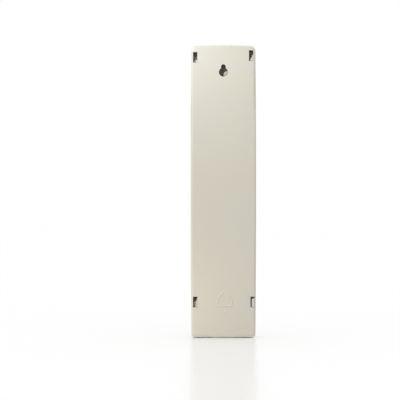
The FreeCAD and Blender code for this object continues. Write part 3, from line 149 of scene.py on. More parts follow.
def addBump(tree, shader, height, strength, distance, after=None):
    bump = tree.nodes.new("ShaderNodeBump")
    bump.inputs["Strength"].default_value = strength
    bump.inputs["Distance"].default_value = distance
    tree.links.new(height, bump.inputs["Height"])
    if after is not None:
        tree.links.new(after, bump.inputs["Normal"])
    tree.links.new(bump.outputs["Normal"], shader.inputs["Normal"])
    return bump.outputs["Normal"]


def setColour(tree, shader, factor, first, second):
    tree.links.new(addMix(tree, factor, first, second), shader.inputs["Base Color"])


def varyTint(tree, shader, place, finish):
    noise = addNoise(tree, place, *finish["tintPattern"])
    spread = addRange(tree, noise, 0, 1, *finish.get("tintEdges", ()))
    setColour(tree, shader, spread, *finish["tints"])


def varySheen(tree, shader, place, finish):
    noise = addNoise(tree, place, *finish["sheenPattern"])
    tree.links.new(addRange(tree, noise, *finish["sheen"]), shader.inputs["Roughness"])


def addGrain(tree, shader, place, finish, after=None):
    addBump(tree, shader, addNoise(tree, place, *finish["grainPattern"]), *finish["grainBump"], after)


def shaded(colour, shade):
    return tuple(part * shade for part in colour)


# helpers for modelling by hand

touch = 0.005 * mm  # two places nearer than this are the same
weld = 0.001 * mm  # corners nearer than this are merged
straight = 0.99  # a face looks forwards or back when its normal has more than this along Y
smoothAngle = 35  # degrees; an edge sharper than this stays sharp


def clearSelection():
    if bpy.context.object and bpy.context.object.mode != "OBJECT":
        bpy.ops.object.mode_set(mode="OBJECT")
    bpy.ops.object.select_all(action="DESELECT")


def startPiece(name):
    piece = bpy.context.object
    piece.name = name
    piece.data.name = name
    bpy.ops.object.transform_apply(location=True, rotation=True, scale=True)
    bpy.ops.object.mode_set(mode="EDIT")
    return piece


def pickFaces(piece, wanted):
    bpy.ops.mesh.select_mode(type="FACE")
    bpy.ops.mesh.select_all(action="DESELECT")
    shape = bmesh.from_edit_mesh(piece.data)
    shape.normal_update()
    for face in shape.faces:
        face.select_set(wanted(face))
    bmesh.update_edit_mesh(piece.data)


def pickEdges(piece, wanted):
    bpy.ops.mesh.select_mode(type="EDGE")
    bpy.ops.mesh.select_all(action="DESELECT")
    shape = bmesh.from_edit_mesh(piece.data)
    for edge in shape.edges:
        if wanted(*(corner.co for corner in edge.verts)):
            edge.select_set(True)
    bmesh.update_edit_mesh(piece.data)


def near(first, second):
    return abs(first - second) < touch


def pickFrontEdges(piece, front):
    pickEdges(piece, lambda first, second: near(first.y, front) and near(second.y, front))


def pickDepthEdges(piece):
    pickEdges(piece, lambda first, second: near(first.x, second.x) and near(first.z, second.z))


def extrudeBy(x, y, z):
    bpy.ops.mesh.extrude_region_move(TRANSFORM_OT_translate={"value": (x, y, z)})


def weldCorners():
    bpy.ops.mesh.select_all(action="SELECT")
    bpy.ops.mesh.remove_doubles(threshold=weld)
    bpy.ops.mesh.normals_make_consistent(inside=False)


def finishPiece(piece, body, material):
    bpy.ops.object.mode_set(mode="OBJECT")
    piece.select_set(True)
    bpy.context.view_layer.objects.active = piece
    bpy.ops.object.shade_smooth_by_angle(angle=math.radians(smoothAngle))
    piece.data.materials.clear()
    piece.data.materials.append(material)
    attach(piece, body)
    clearSelection()


# the casing: cream plastic with a spark texture and fine scuffs across it, with painted shade in narrow
# crevices, a painted highlight on the crest of the mark and painted light that makes the closed inside much
# paler

casing = {
    "colour": (0.502, 0.474, 0.398),
    "warm": (0.509, 0.476, 0.394),
    "cool": (0.495, 0.474, 0.406),
    "driftPattern": (14, 2),
    "speckPattern": (1800, 3),
    "speckShade": 0.96,
    "speckShare": 0.18,
    "roughness": 0.45,
    "sheen": (0.40, 0.50),
    "sheenPattern": (60, 4),
    "grainPattern": (2600, 2),
    "grainBump": (0.25, 0.03 * mm),
    "scuffStretch": (40, 40, 900),
    "scuffPattern": (1, 3),
    "scuffBump": (0.05, 0.02 * mm),
    # painted shade: narrow crevices and the foot of the mark are darkened
    "creviceReach": 0.8 * mm,
    "creviceEdges": (0.35, 0.9),
    "creviceShade": 0.55,
    "creviceShadeColour": (0.16, 0.145, 0.115),
    # painted highlight: the crest of the mark is made paler
    "crestHighlightDepth": (0.18 * mm, 0.06 * mm),
    "crestHighlightColour": (0.560, 0.532, 0.452),
    # painted light: the closed inside is made much paler than the outside
    "insideReach": 30 * mm,
    "insideEdges": (0.05, 0.25),
    "paintedInsideLight": (0.90, 0.87, 0.79),
}


def casingPlastic():
    material, tree, shader = startMaterial("casingPlastic", casing)
    place = addPlace(tree)
    drift = addRange(tree, addNoise(tree, place, *casing["driftPattern"]), 0, 1)
    tint = addMix(tree, drift, casing["warm"], casing["cool"])
    specks = addRange(tree, addNoise(tree, place, *casing["speckPattern"]), 0, 1)
    speckled = addRange(tree, specks, 0, casing["speckShare"], 0, 1)
    colour = addMix(tree, speckled, tint, shaded(casing["colour"], casing["speckShade"]))
    # painted light: surfaces deep inside the closed casing, found by how hollow they are, are given a much
    # paler colour
    openness = addOpenness(tree, casing["insideReach"])
    inside = addRange(tree, openness, 1, 0, *casing["insideEdges"])
    colour = addMix(tree, inside, colour, casing["paintedInsideLight"])
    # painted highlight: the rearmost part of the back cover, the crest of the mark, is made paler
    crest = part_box("back_cover")[1].y
    start, full = casing["crestHighlightDepth"]
    crestHighlight = addRange(tree, addAxes(tree)["Y"], 0, 1, crest - start, crest - full)
    highlighted = addMix(tree, crestHighlight, colour, casing["crestHighlightColour"])
    # painted shade: narrow crevices and the foot of the mark are darkened by how closed in they are
    openness = addOpenness(tree, casing["creviceReach"])
    creviceShade = addRange(tree, openness, casing["creviceShade"], 0, *casing["creviceEdges"])
    setColour(tree, shader, creviceShade, highlighted, casing["creviceShadeColour"])
    varySheen(tree, shader, place, casing)
    scuffs = addNoise(tree, addPlace(tree, casing["scuffStretch"]), *casing["scuffPattern"])
    scuffed = addBump(tree, shader, scuffs, *casing["scuffBump"])
    addGrain(tree, shader, place, casing, scuffed)
    return material


keyFinish = {
    "colour": (0.560, 0.535, 0.465),
    "tints": ((0.560, 0.535, 0.465), (0.590, 0.570, 0.505)),
    "tintPattern": (180, 4),
    "roughness": 0.3,
    "sheen": (0.24, 0.34),
    "sheenPattern": (400, 3),
    "grainPattern": (5000, 2),
    "grainBump": (0.12, 0.01 * mm),
}


def keyPlastic():
    material, tree, shader = startMaterial("keyPlastic", keyFinish)
    place = addPlace(tree)
    varyTint(tree, shader, place, keyFinish)
    varySheen(tree, shader, place, keyFinish)
    addGrain(tree, shader, place, keyFinish)
    return material


# plain moulded plastics: a tint that drifts, a sheen that varies and a fine spark texture

plastics = {  # colour, roughness and the scale of the grain
    "clampPlastic": ((0.60, 0.55, 0.45), 0.42, 2200),
    "symbolPlastic": ((0.045, 0.047, 0.050), 0.36, 4000),
    "blackPlastic": ((0.022, 0.022, 0.023), 0.46, 2400),
    "whitePlastic": ((0.70, 0.70, 0.69), 0.38, 1800),
    "creamPlastic": ((0.60, 0.56, 0.42), 0.40, 3000),
    "plungerPlastic": ((0.055, 0.055, 0.057), 0.34, 4200),
    "ledBody": ((0.78, 0.76, 0.66), 0.30, 3600),
}

moulding = {
    "darkest": 0.90,
    "lightest": 1.12,
    "tintPattern": (90, 3),
    "smoother": 0.06,
    "rougher": 0.08,
    "sheenPattern": (300, 4),
    "grainDetail": 2,
    "grainBump": (0.2, 0.02 * mm),
}


def mouldedPlastic(name):
    colour, roughness, grain = plastics[name]
    finish = {
        **moulding,
        "colour": colour,
        "tints": (shaded(colour, moulding["darkest"]), shaded(colour, moulding["lightest"])),
        "roughness": roughness,
        "sheen": (roughness - moulding["smoother"], roughness + moulding["rougher"]),
        "grainPattern": (grain, moulding["grainDetail"]),
    }
    material, tree, shader = startMaterial(name, finish)
    place = addPlace(tree)
    varyTint(tree, shader, place, finish)
    varySheen(tree, shader, place, finish)
    addGrain(tree, shader, place, finish)
    return material


# soft materials: foam, rubber and pressed paper

foams = {
    "foam": (0.045, 0.045, 0.047),
    "blackTape": (0.018, 0.018, 0.019),
}

foamFinish = {
    "roughness": 0.9,
    "cellScale": 3200,
    "cellEdges": (0.1, 0.6),
    "darkest": 0.6,
    "lightest": 1.5,
    "cellBump": (0.6, 0.08 * mm),
}


def cellFoam(name):
    colour = foams[name]
    material, tree, shader = startMaterial(name, {**foamFinish, "colour": colour})
    depth = addCells(tree, addPlace(tree), foamFinish["cellScale"]).outputs["Distance"]
    cells = addRange(tree, depth, 0, 1, *foamFinish["cellEdges"])
    dark, light = shaded(colour, foamFinish["darkest"]), shaded(colour, foamFinish["lightest"])
    setColour(tree, shader, cells, dark, light)
    addBump(tree, shader, depth, *foamFinish["cellBump"])
    return material


rubberFinish = {
    "colour": (0.028, 0.028, 0.029),
    "tints": ((0.024, 0.024, 0.025), (0.050, 0.049, 0.047)),
    "tintPattern": (700, 4),
    "tintEdges": (0.45, 0.75),
    "roughness": 0.72,
    "grainPattern": (1500, 3),
    "grainBump": (0.3, 0.03 * mm),
}


def blackRubber():
    material, tree, shader = startMaterial("blackRubber", rubberFinish)
    place = addPlace(tree)
    varyTint(tree, shader, place, rubberFinish)
    addGrain(tree, shader, place, rubberFinish)
    return material


paperFinish = {
    "colour": (0.07, 0.068, 0.064),
    "roughness": 0.85,
    "fibreStretch": (900, 300, 2600),
    "fibrePattern": (1, 4),
    "fibreTints": ((0.045, 0.044, 0.042), (0.105, 0.100, 0.094)),
    "fibreBump": (0.5, 0.05 * mm),
    "blotchPattern": (500, 5),
    "blotchShare": 0.4,
    "blotchColour": (0.12, 0.115, 0.11),
}


def conePaper():
    material, tree, shader = startMaterial("conePaper", paperFinish)
    fibres = addNoise(tree, addPlace(tree, paperFinish["fibreStretch"]), *paperFinish["fibrePattern"])
    colour = addMix(tree, addRange(tree, fibres, 0, 1), *paperFinish["fibreTints"])
    blotches = addNoise(tree, addPlace(tree), *paperFinish["blotchPattern"])
    blotched = addRange(tree, blotches, 0, paperFinish["blotchShare"])
    setColour(tree, shader, blotched, colour, paperFinish["blotchColour"])
    addBump(tree, shader, fibres, *paperFinish["fibreBump"])
    return material


# metals

canFinish = {
    "colour": (0.66, 0.66, 0.67),
    "tints": ((0.58, 0.57, 0.56), (0.74, 0.74, 0.75)),
    "tintPattern": (260, 5),
    "metallic": 1,
    "roughness": 0.32,
    "sheen": (0.24, 0.44),
    "sheenPattern": (900, 4),
    "drawStretch": (3000, 400, 3000),
    "grainPattern": (1, 2),
    "grainBump": (0.15, 0.01 * mm),
}


def drawnCan():
    material, tree, shader = startMaterial("drawnCan", canFinish)
    place = addPlace(tree)
    varyTint(tree, shader, place, canFinish)
    varySheen(tree, shader, place, canFinish)
    addGrain(tree, shader, addPlace(tree, canFinish["drawStretch"]), canFinish)
    return material


screwFinish = {
    "colour": (0.60, 0.61, 0.63),
    "tints": ((0.48, 0.50, 0.54), (0.70, 0.70, 0.68)),
    "metallic": 1,
    "roughness": 0.28,
    "sheen": (0.22, 0.40),
    "turnStretch": (600, 6000, 600),
    "turnPattern": (1, 3),
    "turnBump": (0.2, 0.01 * mm),
}


def zincScrew():
    material, tree, shader = startMaterial("zincScrew", screwFinish)
    turned = addNoise(tree, addPlace(tree, screwFinish["turnStretch"]), *screwFinish["turnPattern"])
    setColour(tree, shader, addRange(tree, turned, 0, 1), *screwFinish["tints"])
    tree.links.new(addRange(tree, turned, *screwFinish["sheen"]), shader.inputs["Roughness"])
    addBump(tree, shader, turned, *screwFinish["turnBump"])
    return material


goldFinish = {
    "colour": (0.83, 0.62, 0.26),
    "tints": ((0.76, 0.54, 0.21), (0.88, 0.70, 0.36)),
    "tintPattern": (1200, 4),
    "metallic": 1,
    "roughness": 0.22,
    "sheen": (0.16, 0.30),
    "sheenPattern": (2500, 3),
}


def contactGold():
    material, tree, shader = startMaterial("contactGold", goldFinish)
    place = addPlace(tree)
    varyTint(tree, shader, place, goldFinish)
    varySheen(tree, shader, place, goldFinish)
    return material


ferriteFinish = {
    "colour": (0.045, 0.045, 0.048),
    "tints": ((0.038, 0.038, 0.041), (0.13, 0.13, 0.14)),
    "tintPattern": (3000, 2),
    "tintEdges": (0.55, 0.7),
    "roughness": 0.55,
    "sheen": (0.42, 0.66),
    "sheenPattern": (800, 3),
    "grainPattern": (1800, 4),
    "grainBump": (0.35, 0.03 * mm),
}


def ferrite():
    material, tree, shader = startMaterial("ferrite", ferriteFinish)
    place = addPlace(tree)
    varyTint(tree, shader, place, ferriteFinish)
    varySheen(tree, shader, place, ferriteFinish)
    addGrain(tree, shader, place, ferriteFinish)
    return material


steelFinish = {
    "colour": (0.20, 0.19, 0.165),
    "tints": ((0.17, 0.155, 0.125), (0.25, 0.24, 0.21)),
    "tintPattern": (350, 4),
    "metallic": 0.35,
    "roughness": 0.5,
    "sheen": (0.42, 0.6),
    "sheenPattern": (900, 3),
    "grainPattern": (2600, 3),
    "grainBump": (0.25, 0.02 * mm),
}


def yokeSteel():
    material, tree, shader = startMaterial("yokeSteel", steelFinish)
    place = addPlace(tree)
    varyTint(tree, shader, place, steelFinish)
    varySheen(tree, shader, place, steelFinish)
    addGrain(tree, shader, place, steelFinish)
    return material


# the board: green solder mask, paler over the copper tracks, and the parts on it

boardFinish = {
    "colour": (0.012, 0.105, 0.048),
    "trackColour": (0.030, 0.190, 0.085),
    "trackScale": 210,
    "trackSpacing": 0.12,
    "trackEdges": (0.05, 0.07),
    "trackBump": (0.3, 0.02 * mm),
    "cloudColour": (0.006, 0.070, 0.035),
    "cloudPattern": (120, 3),
    "cloudShare": 0.25,
    "roughness": 0.3,
    "sheen": (0.22, 0.36),
    "sheenPattern": (500, 3),
}


def boardLaminate():
    material, tree, shader = startMaterial("boardLaminate", boardFinish)
    place = addPlace(tree)
    cells = addCells(tree, place, boardFinish["trackScale"])
    cells.distance = "MANHATTAN"
    contour = tree.nodes.new("ShaderNodeMath")
    contour.operation = "PINGPONG"
    contour.inputs[1].default_value = boardFinish["trackSpacing"]
    tree.links.new(cells.outputs["Distance"], contour.inputs[0])
    tracks = addRange(tree, contour.outputs["Value"], 0, 1, *boardFinish["trackEdges"])
    mask = addMix(tree, tracks, boardFinish["colour"], boardFinish["trackColour"])
    clouds = addNoise(tree, place, *boardFinish["cloudPattern"])
    clouded = addRange(tree, clouds, 0, boardFinish["cloudShare"])
    setColour(tree, shader, clouded, mask, boardFinish["cloudColour"])
    varySheen(tree, shader, place, boardFinish)
    addBump(tree, shader, tracks, *boardFinish["trackBump"])
    return material


chipFinish = {
    "colour": (0.026, 0.026, 0.028),
    "tints": ((0.022, 0.022, 0.024), (0.055, 0.055, 0.058)),
    "tintPattern": (6000, 2),
    "tintEdges": (0.5, 0.7),
    "roughness": 0.5,
    "sheen": (0.42, 0.58),
    "sheenPattern": (900, 3),
    "grainPattern": (4000, 3),
    "grainBump": (0.3, 0.02 * mm),
}


def chipMould():
    material, tree, shader = startMaterial("chipMould", chipFinish)
    place = addPlace(tree)
    varyTint(tree, shader, place, chipFinish)
    varySheen(tree, shader, place, chipFinish)
    addGrain(tree, shader, place, chipFinish)
    return material


ribbonFinish = {
    "colour": (0.46, 0.22, 0.05),
    "lineScale": 420,
    "lineEdges": (0.45, 0.55),
    "lineTints": ((0.40, 0.17, 0.03), (0.66, 0.36, 0.13)),
    "lineBump": (0.3, 0.02 * mm),
    "roughness": 0.26,
    "sheen": (0.2, 0.34),
    "sheenPattern": (500, 3),
}


def ribbonFilm():
    material, tree, shader = startMaterial("ribbonFilm", ribbonFinish)
    place = addPlace(tree)
    bands = tree.nodes.new("ShaderNodeTexWave")
    bands.bands_direction = "X"
    bands.inputs["Scale"].default_value = ribbonFinish["lineScale"]
    tree.links.new(place, bands.inputs["Vector"])
    lines = addRange(tree, bands.outputs["Fac"], 0, 1, *ribbonFinish["lineEdges"])
    setColour(tree, shader, lines, *ribbonFinish["lineTints"])
    varySheen(tree, shader, place, ribbonFinish)
    addBump(tree, shader, lines, *ribbonFinish["lineBump"])
    return material


leadFinish = {
    "colour": (0.45, 0.02, 0.02),
    "red": (0.42, 0.016, 0.014),
    "black": (0.020, 0.020, 0.022),
    "between": 0.01 * mm,
    "roughness": 0.42,
    "sheen": (0.34, 0.52),
    "sheenPattern": (900, 3),
    "grainPattern": (2500, 2),
    "grainBump": (0.2, 0.02 * mm),
}


# one lead is red and the other black, on the two sides of the middle of their box
def leadInsulation():
    material, tree, shader = startMaterial("leadInsulation", leadFinish)
    place = addPlace(tree)
    low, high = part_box("speaker_leads")
    middle = (low.x + high.x) / 2
    side = addRange(tree, addAxes(tree)["X"], 0, 1, middle, middle + leadFinish["between"])
    setColour(tree, shader, side, leadFinish["red"], leadFinish["black"])
    varySheen(tree, shader, place, leadFinish)
    addGrain(tree, shader, place, leadFinish)
    return material


# glass, film and clear plastics

windowFinish = {
    "colour": (0.0060, 0.0060, 0.0066),
    "viewColour": (0.0150, 0.0170, 0.0215),
    "viewMargin": 1.6 * mm,
    "viewEdge": 0.15 * mm,
    "refraction": 1.49,
    "roughness": 0.05,
    "sheen": (0.03, 0.07),
    "sheenPattern": (1, 5),
    "smearStretch": (30, 30, 45),
}


# the panel's viewing area shows through the smoke, a little paler
def windowAcrylic():
    material, tree, shader = startMaterial("windowAcrylic", windowFinish)
    shader.inputs["IOR"].default_value = windowFinish["refraction"]
    axes = addAxes(tree)
    low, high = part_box("lcd_panel")
    margin, edge = windowFinish["viewMargin"], windowFinish["viewEdge"]
    across = addInside(tree, axes["X"], low.x + margin, high.x - margin, edge)
    upright = addInside(tree, axes["Z"], low.z + margin, high.z - margin, edge)
    viewArea = addProduct(tree, across, upright)
    setColour(tree, shader, viewArea, windowFinish["colour"], windowFinish["viewColour"])
    varySheen(tree, shader, addPlace(tree, windowFinish["smearStretch"]), windowFinish)
    return material


pipeFinish = {
    "colour": (0.80, 0.86, 0.84),
    "refraction": 1.58,
    "clearness": 0.75,
    "roughness": 0.18,
    "sheen": (0.12, 0.26),
    "sheenPattern": (1500, 3),
    "grainPattern": (3000, 2),
    "grainBump": (0.15, 0.02 * mm),
}


def clearPipe():
    material, tree, shader = startMaterial("clearPipe", pipeFinish)
    shader.inputs["IOR"].default_value = pipeFinish["refraction"]
    shader.inputs["Transmission Weight"].default_value = pipeFinish["clearness"]
    place = addPlace(tree)
    varySheen(tree, shader, place, pipeFinish)
    addGrain(tree, shader, place, pipeFinish)
    return material


polariserFinish = {
    "colour": (0.022, 0.026, 0.032),
    "tints": ((0.020, 0.024, 0.031), (0.026, 0.028, 0.032)),
    "tintPattern": (40, 3),
    "roughness": 0.22,
    "sheen": (0.18, 0.28),
    "sheenPattern": (300, 3),
}


def polariser():
    material, tree, shader = startMaterial("polariser", polariserFinish)
    place = addPlace(tree)
    varyTint(tree, shader, place, polariserFinish)
    varySheen(tree, shader, place, polariserFinish)
    return material


def paint(material, *names):
    for name in names:
        nodes[name].data.materials.clear()
        nodes[name].data.materials.append(material)


keyNames = ["talk", "unlock", "monitor", "volume_up", "volume_down"]
capMaterial = keyPlastic()
symbolMaterial = mouldedPlastic("symbolPlastic")
windowMaterial = windowAcrylic()
paint(casingPlastic(), "front_shell", "back_cover")
paint(mouldedPlastic("clampPlastic"), "speaker_clamp")
paint(capMaterial, *[key + "_button" for key in keyNames])
paint(mouldedPlastic("plungerPlastic"), *[key + "_plunger" for key in keyNames])
paint(mouldedPlastic("blackPlastic"), "lcd_holder", "line_socket", *[key + "_switch" for key in keyNames])
paint(mouldedPlastic("whitePlastic"), "lcd_backlight")
paint(mouldedPlastic("creamPlastic"), "ribbon_connector", "speaker_plug")
paint(mouldedPlastic("ledBody"), "status_led")
paint(cellFoam("foam"), "panel_gasket", "speaker_gasket")
paint(cellFoam("blackTape"), "window_tape")
paint(blackRubber(), "microphone_boot")
paint(conePaper(), "speaker_cone")
paint(drawnCan(), "speaker_basket", "microphone_capsule", "crystal", "capacitors")
paint(zincScrew(), "board_screws", "clamp_screws")
paint(contactGold(), "line_contacts")
paint(ferrite(), "inductor")
paint(yokeSteel(), "speaker_magnet")
paint(boardLaminate(), "main_board")
paint(chipMould(), "processor_chip", "memory_chip", "amplifier_chip")
paint(ribbonFilm(), "lcd_ribbon")
paint(leadInsulation(), "speaker_leads")
paint(windowMaterial, "display_window")
paint(clearPipe(), "light_pipe")
paint(polariser(), "lcd_panel")
print("materials given to", len(nodes), "nodes")


# key caps: a dished face with a rounded rim, a flange behind the shell and a stem on the switch

cap = {
    "rim": 0.45 * mm,
    "rimSteps": 5,
    "dishDepth": 0.30 * mm,
    "dishRings": 6,
    "bodyDepth": 3.2 * mm,
    "flange": 1.1 * mm,
    "flangeDepth": 0.8 * mm,
    "stemRadius": 2.0 * mm,
    "around": 64,
}


def makeKeyCap(key):
    low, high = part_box(key + "_button")
    x, z = (low.x + high.x) / 2, (low.z + high.z) / 2
    flangeRadius = (high.x - low.x) / 2
    radius = flangeRadius - cap["flange"]
    clearSelection()
    bpy.ops.mesh.primitive_cylinder_add(
        vertices=cap["around"], radius=radius, depth=cap["bodyDepth"],
        location=(x, low.y + cap["bodyDepth"] / 2, z), rotation=(math.radians(90), 0, 0))
    piece = startPiece(key + "_cap")
    pickFrontEdges(piece, low.y)
    bpy.ops.mesh.bevel(offset=cap["rim"], segments=cap["rimSteps"])
    pickFaces(piece, lambda face: face.normal.y < -straight)
    step = (radius - cap["rim"]) / (cap["dishRings"] + 1)
    for ring in range(cap["dishRings"]):  # the dish sinks steeply at its rim and less and less inwards
        bpy.ops.mesh.inset(thickness=step)
        slope = 1 - (ring + 0.5) / cap["dishRings"]
        bpy.ops.transform.translate(value=(0, 2 * slope * cap["dishDepth"] / cap["dishRings"], 0))
    pickFaces(piece, lambda face: face.normal.y > straight)
    extrudeBy(0, 0, 0)
    grow = flangeRadius / radius
    bpy.ops.transform.resize(value=(grow, 1, grow), center_override=(x, low.y + cap["bodyDepth"], z))
    extrudeBy(0, cap["flangeDepth"], 0)
    bpy.ops.mesh.inset(thickness=flangeRadius - cap["stemRadius"])
    extrudeBy(0, high.y - low.y - cap["bodyDepth"] - cap["flangeDepth"], 0)
    weldCorners()
    finishPiece(piece, key + "_key", capMaterial)
    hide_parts(key + "_button")
    return x, low.y, z


capFaces = {key: makeKeyCap(key) for key in keyNames}
print("five key caps modelled")


# symbols moulded through the key faces from a darker plastic: a handset, a key, a screen, a plus and a minus

symbols = {
    "front": 0.09 * mm,  # front and back are measured inwards from the plane of the cap's rim
    "back": 0.60 * mm,
    "stroke": 0.9 * mm,
    "roundEnd": 0.48,  # corner of a stroke's end, as a share of its width
    "cornerSteps": 6,
    "overlap": 0.2 * mm,  # how far joined strokes run into each other
    "plusBar": 4.0 * mm,
}

handset = {
    "radius": 4.3 * mm,
    "width": 1.5 * mm,
    "sweep": 100,
    "steps": 24,
    "drop": 0.62,  # of the radius, from the key's middle to the arc's centre
    "ear": (2.3 * mm, 2.9 * mm),
    "earDrop": 0.28,  # of the ear's height
    "earCorner": 0.6 * mm,
}

keySign = {
    "bow": 1.75 * mm,
    "bowBorder": 0.8 * mm,
    "bowShift": 0.2,  # of the bow's radius
    "bowAround": 40,
    "shaft": (5.2 * mm, 0.9 * mm),
    "tooth": (0.8 * mm, 1.5 * mm),
    "toothCorner": 0.15 * mm,
    "teethFromEnd": (0.7 * mm, 2.1 * mm),
}

screenSign = {
    "size": (6.6 * mm, 4.6 * mm),
    "border": 0.8 * mm,
    "corner": 0.9 * mm,
    "rise": 0.5 * mm,
    "foot": 3.2 * mm,
    "footDrop": 3.7 * mm,
}


def symbolPlace(face, shift):
    middle = (symbols["front"] + symbols["back"]) / 2
    return face[0] + shift[0], face[1] + middle, face[2] + shift[1]


def addTile(name, face, width, height, shift=(0, 0), corner=None):
    depth = symbols["back"] - symbols["front"]
    clearSelection()
    bpy.ops.mesh.primitive_cube_add(
        size=1, location=symbolPlace(face, shift), scale=(width, depth, height))
    piece = startPiece(name)
    pickDepthEdges(piece)
    if corner is None:
        corner = min(width, height) * symbols["roundEnd"]
    bpy.ops.mesh.bevel(offset=corner, segments=symbols["cornerSteps"])
    bpy.ops.object.mode_set(mode="OBJECT")
    return piece


def cutThrough(piece, border):
    bpy.ops.object.mode_set(mode="EDIT")
    pickFaces(piece, lambda face: abs(face.normal.y) > straight)
    bpy.ops.mesh.inset(thickness=border)
    bpy.ops.mesh.bridge_edge_loops()
    bpy.ops.mesh.select_all(action="SELECT")
    bpy.ops.mesh.normals_make_consistent(inside=False)
    bpy.ops.object.mode_set(mode="OBJECT")


def addRing(name, face, radius, border, shift, around):
    clearSelection()
    bpy.ops.mesh.primitive_cylinder_add(
        vertices=around, radius=radius, depth=symbols["back"] - symbols["front"],
        location=symbolPlace(face, shift), rotation=(math.radians(90), 0, 0))
    piece = startPiece(name)
    bpy.ops.object.mode_set(mode="OBJECT")
    cutThrough(piece, border)
    return piece


def unite(base, *others):
    for other in others:
        clearSelection()
        base.select_set(True)
        bpy.context.view_layer.objects.active = base
        union = base.modifiers.new("union", "BOOLEAN")
        union.operation = "UNION"
        union.object = other
        bpy.ops.object.modifier_apply(modifier=union.name)
        bpy.data.objects.remove(other)
    return base


def turnPiece(piece, degrees, centre):
    clearSelection()
    piece.select_set(True)
    bpy.context.view_layer.objects.active = piece
    bpy.ops.object.mode_set(mode="EDIT")
    bpy.ops.mesh.select_all(action="SELECT")
    bpy.ops.transform.rotate(value=math.radians(degrees), orient_axis="Y", center_override=centre)
    bpy.ops.object.mode_set(mode="OBJECT")


def finishSymbol(piece, key):
    finishPiece(piece, key + "_key", symbolMaterial)


# a flat section spun into the arc of the handset, with an ear at each end
def makeHandset(face):
    radius, sweep = handset["radius"], handset["sweep"]
    centre = (face[0], face[1], face[2] - radius * handset["drop"])
    depth = symbols["back"] - symbols["front"]
    clearSelection()
    bpy.ops.mesh.primitive_plane_add(
        size=1, location=(centre[0], face[1] + symbols["front"] + depth / 2, centre[2] + radius),
        rotation=(0, math.radians(90), 0))
    piece = bpy.context.object
    piece.scale = (handset["width"], depth, 1)
    startPiece("talk_symbol")
    bpy.ops.mesh.select_all(action="SELECT")
    bpy.ops.transform.rotate(value=math.radians(sweep / 2), orient_axis="Y", center_override=centre)
    bpy.ops.mesh.spin(steps=handset["steps"], angle=math.radians(-sweep), center=centre, axis=(0, 1, 0))
    weldCorners()
    bpy.ops.object.mode_set(mode="OBJECT")
    top = (centre[0], face[1], centre[2] + radius)
    shift = (0, -handset["ear"][1] * handset["earDrop"])
    ears = []
    for side in (-1, 1):
        ear = addTile("ear", top, *handset["ear"], shift, handset["earCorner"])
        turnPiece(ear, side * sweep / 2, centre)
        ears.append(ear)
    return unite(piece, *ears)


def makeKeySign(face):
    bow, border = keySign["bow"], keySign["bowBorder"]
    length, width = keySign["shaft"]
    bowX = -(length / 2 - bow * keySign["bowShift"])
    shaftX = bowX + bow - border / 2 - symbols["overlap"]
    end = shaftX + length
    ring = addRing("unlock_symbol", face, bow, border, (bowX, 0), keySign["bowAround"])
    shaft = addTile("shaft", face, length, width, (shaftX + length / 2, 0))
    thick, long = keySign["tooth"]
    teeth = [addTile("tooth", face, thick, long, (end - place, -long / 2), keySign["toothCorner"])
             for place in keySign["teethFromEnd"]]
    return unite(ring, shaft, *teeth)


def makeScreenSign(face):
    rise = screenSign["rise"]
    screen = addTile("monitor_symbol", face, *screenSign["size"], (0, rise), screenSign["corner"])
    cutThrough(screen, screenSign["border"])
    footPlace = (0, rise - screenSign["footDrop"])
    return unite(screen, addTile("foot", face, screenSign["foot"], screenSign["border"], footPlace))


def makePlus(face):
    across = addTile("volume_up_symbol", face, symbols["plusBar"], symbols["stroke"])
    return unite(across, addTile("upright", face, symbols["stroke"], symbols["plusBar"]))


def makeMinus(face):
    return addTile("volume_down_symbol", face, symbols["plusBar"], symbols["stroke"])


finishSymbol(makeHandset(capFaces["talk"]), "talk")
finishSymbol(makeKeySign(capFaces["unlock"]), "unlock")
finishSymbol(makeScreenSign(capFaces["monitor"]), "monitor")
finishSymbol(makePlus(capFaces["volume_up"]), "volume_up")
finishSymbol(makeMinus(capFaces["volume_down"]), "volume_down")
print("key symbols modelled")


# the display window: a smoked plate with rounded corners and a polished rim

window = {
    "corner": 3.0 * mm,
    "cornerSteps": 10,
    "polish": 0.4 * mm,
    "polishSteps": 4,
}


def makeDisplayWindow():
    low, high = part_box("display_window")
    clearSelection()
    bpy.ops.mesh.primitive_cube_add(size=1, location=(low + high) / 2, scale=high - low)
    piece = startPiece("display_cover")
    pickDepthEdges(piece)
    bpy.ops.mesh.bevel(offset=window["corner"], segments=window["cornerSteps"])
    pickFrontEdges(piece, low.y)
    bpy.ops.mesh.bevel(offset=window["polish"], segments=window["polishSteps"])
    finishPiece(piece, "root", windowMaterial)
    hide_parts("display_window")


makeDisplayWindow()
print("display window modelled")


# a plain white floor and surroundings; the lamps light the object and leave the floor out

stage = {
    "floorSize": 30.0,
    "floorGap": 0.02 * mm,
    "colour": (1.0, 1.0, 1.0),
    "gloss": 0.34,
    "glossRoughness": 0.22,
    "surroundings": 1.0,
}


def makeFloorMaterial():
    material = bpy.data.materials.new("studioFloor")
    material.use_nodes = True
    tree = material.node_tree
    tree.nodes.remove(tree.nodes["Principled BSDF"])
    matt = tree.nodes.new("ShaderNodeBsdfDiffuse")
    gloss = tree.nodes.new("ShaderNodeBsdfGlossy")
    mix = tree.nodes.new("ShaderNodeMixShader")
    matt.inputs["Color"].default_value = (*stage["colour"], 1)
    gloss.inputs["Color"].default_value = (*stage["colour"], 1)
    gloss.inputs["Roughness"].default_value = stage["glossRoughness"]
    mix.inputs["Fac"].default_value = stage["gloss"]
    tree.links.new(matt.outputs["BSDF"], mix.inputs[1])
    tree.links.new(gloss.outputs["BSDF"], mix.inputs[2])
    tree.links.new(mix.outputs["Shader"], tree.nodes["Material Output"].inputs["Surface"])
    return material


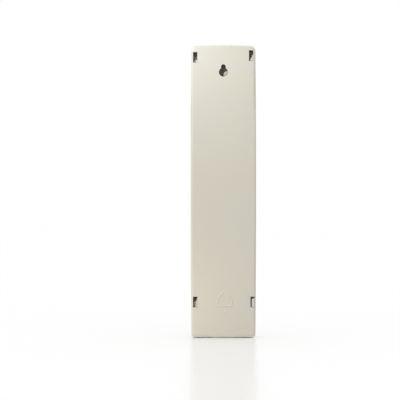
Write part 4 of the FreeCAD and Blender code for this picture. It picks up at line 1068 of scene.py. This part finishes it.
def makeFloor():
    clearSelection()
    bpy.ops.mesh.primitive_plane_add(
        size=stage["floorSize"], location=(0, 0, cadBox[0].z - stage["floorGap"]))
    floor = bpy.context.object
    floor.name = "studioFloor"
    floor.data.materials.append(makeFloorMaterial())
    unlit = bpy.data.collections.new("unlitByLamps")
    unlit.objects.link(floor)
    unlit.collection_objects[0].light_linking.link_state = "EXCLUDE"
    return unlit


def makeSurroundings():
    world = bpy.data.worlds.new("studio")
    world.use_nodes = True
    background = world.node_tree.nodes["Background"]
    background.inputs["Color"].default_value = (*stage["colour"], 1)
    background.inputs["Strength"].default_value = stage["surroundings"]
    bpy.context.scene.world = world


lamps = {  # place, what it points at, size, colour and watts
    "rake": ((0.62, 0.18, 0.42), (0, 0, 0), 0.22, (1, 0.97, 0.90), 2.7),
    "crown": ((0.05, 0.11, 0.15), (0, 0, 0.10), 0.05, (0.82, 0.89, 1), 0.091),
    "foot": ((0.06, 0.09, -0.11), (0, 0, -0.11), 0.05, (1, 0.94, 0.88), 0.032),
    "front": ((-0.8, -1.3, 1.0), (0, 0, 0), 0.7, (1, 1, 1), 6.0),
}


def addLamp(name, unlit, place, target, size, colour, power):
    lamp = bpy.data.lights.new(name, "AREA")
    lamp.size = size
    lamp.energy = power
    lamp.color = colour
    holder = bpy.data.objects.new(name, lamp)
    holder.location = place
    holder.rotation_euler = (Vector(target) - Vector(place)).to_track_quat("-Z", "Y").to_euler()
    holder.visible_camera = False
    holder.light_linking.receiver_collection = unlit
    bpy.context.scene.collection.objects.link(holder)


# a level camera that looks at the back, a little to one side and below the middle

view = {
    "distance": 1.8,
    "x": 20.0 * mm,
    "z": -7.3 * mm,
    "frameWidth": 341.5 * mm,
    "sensor": 36.0,
    "nearest": 0.01,
    "farthest": 100,
}


def makeCamera():
    camera = bpy.data.cameras.new("camera")
    camera.sensor_width = view["sensor"]
    camera.lens = view["sensor"] * view["distance"] / view["frameWidth"]
    camera.clip_start = view["nearest"]
    camera.clip_end = view["farthest"]
    holder = bpy.data.objects.new("camera", camera)
    holder.location = (view["x"], view["distance"], view["z"])
    holder.rotation_euler = (math.radians(90), 0, math.radians(180))
    bpy.context.scene.collection.objects.link(holder)
    bpy.context.scene.camera = holder


unlitByLamps = makeFloor()
makeSurroundings()
for name, setting in lamps.items():
    addLamp(name, unlitByLamps, *setting)
makeCamera()
bpy.context.scene.view_settings.view_transform = "Standard"
print("stage, lamps and camera placed")
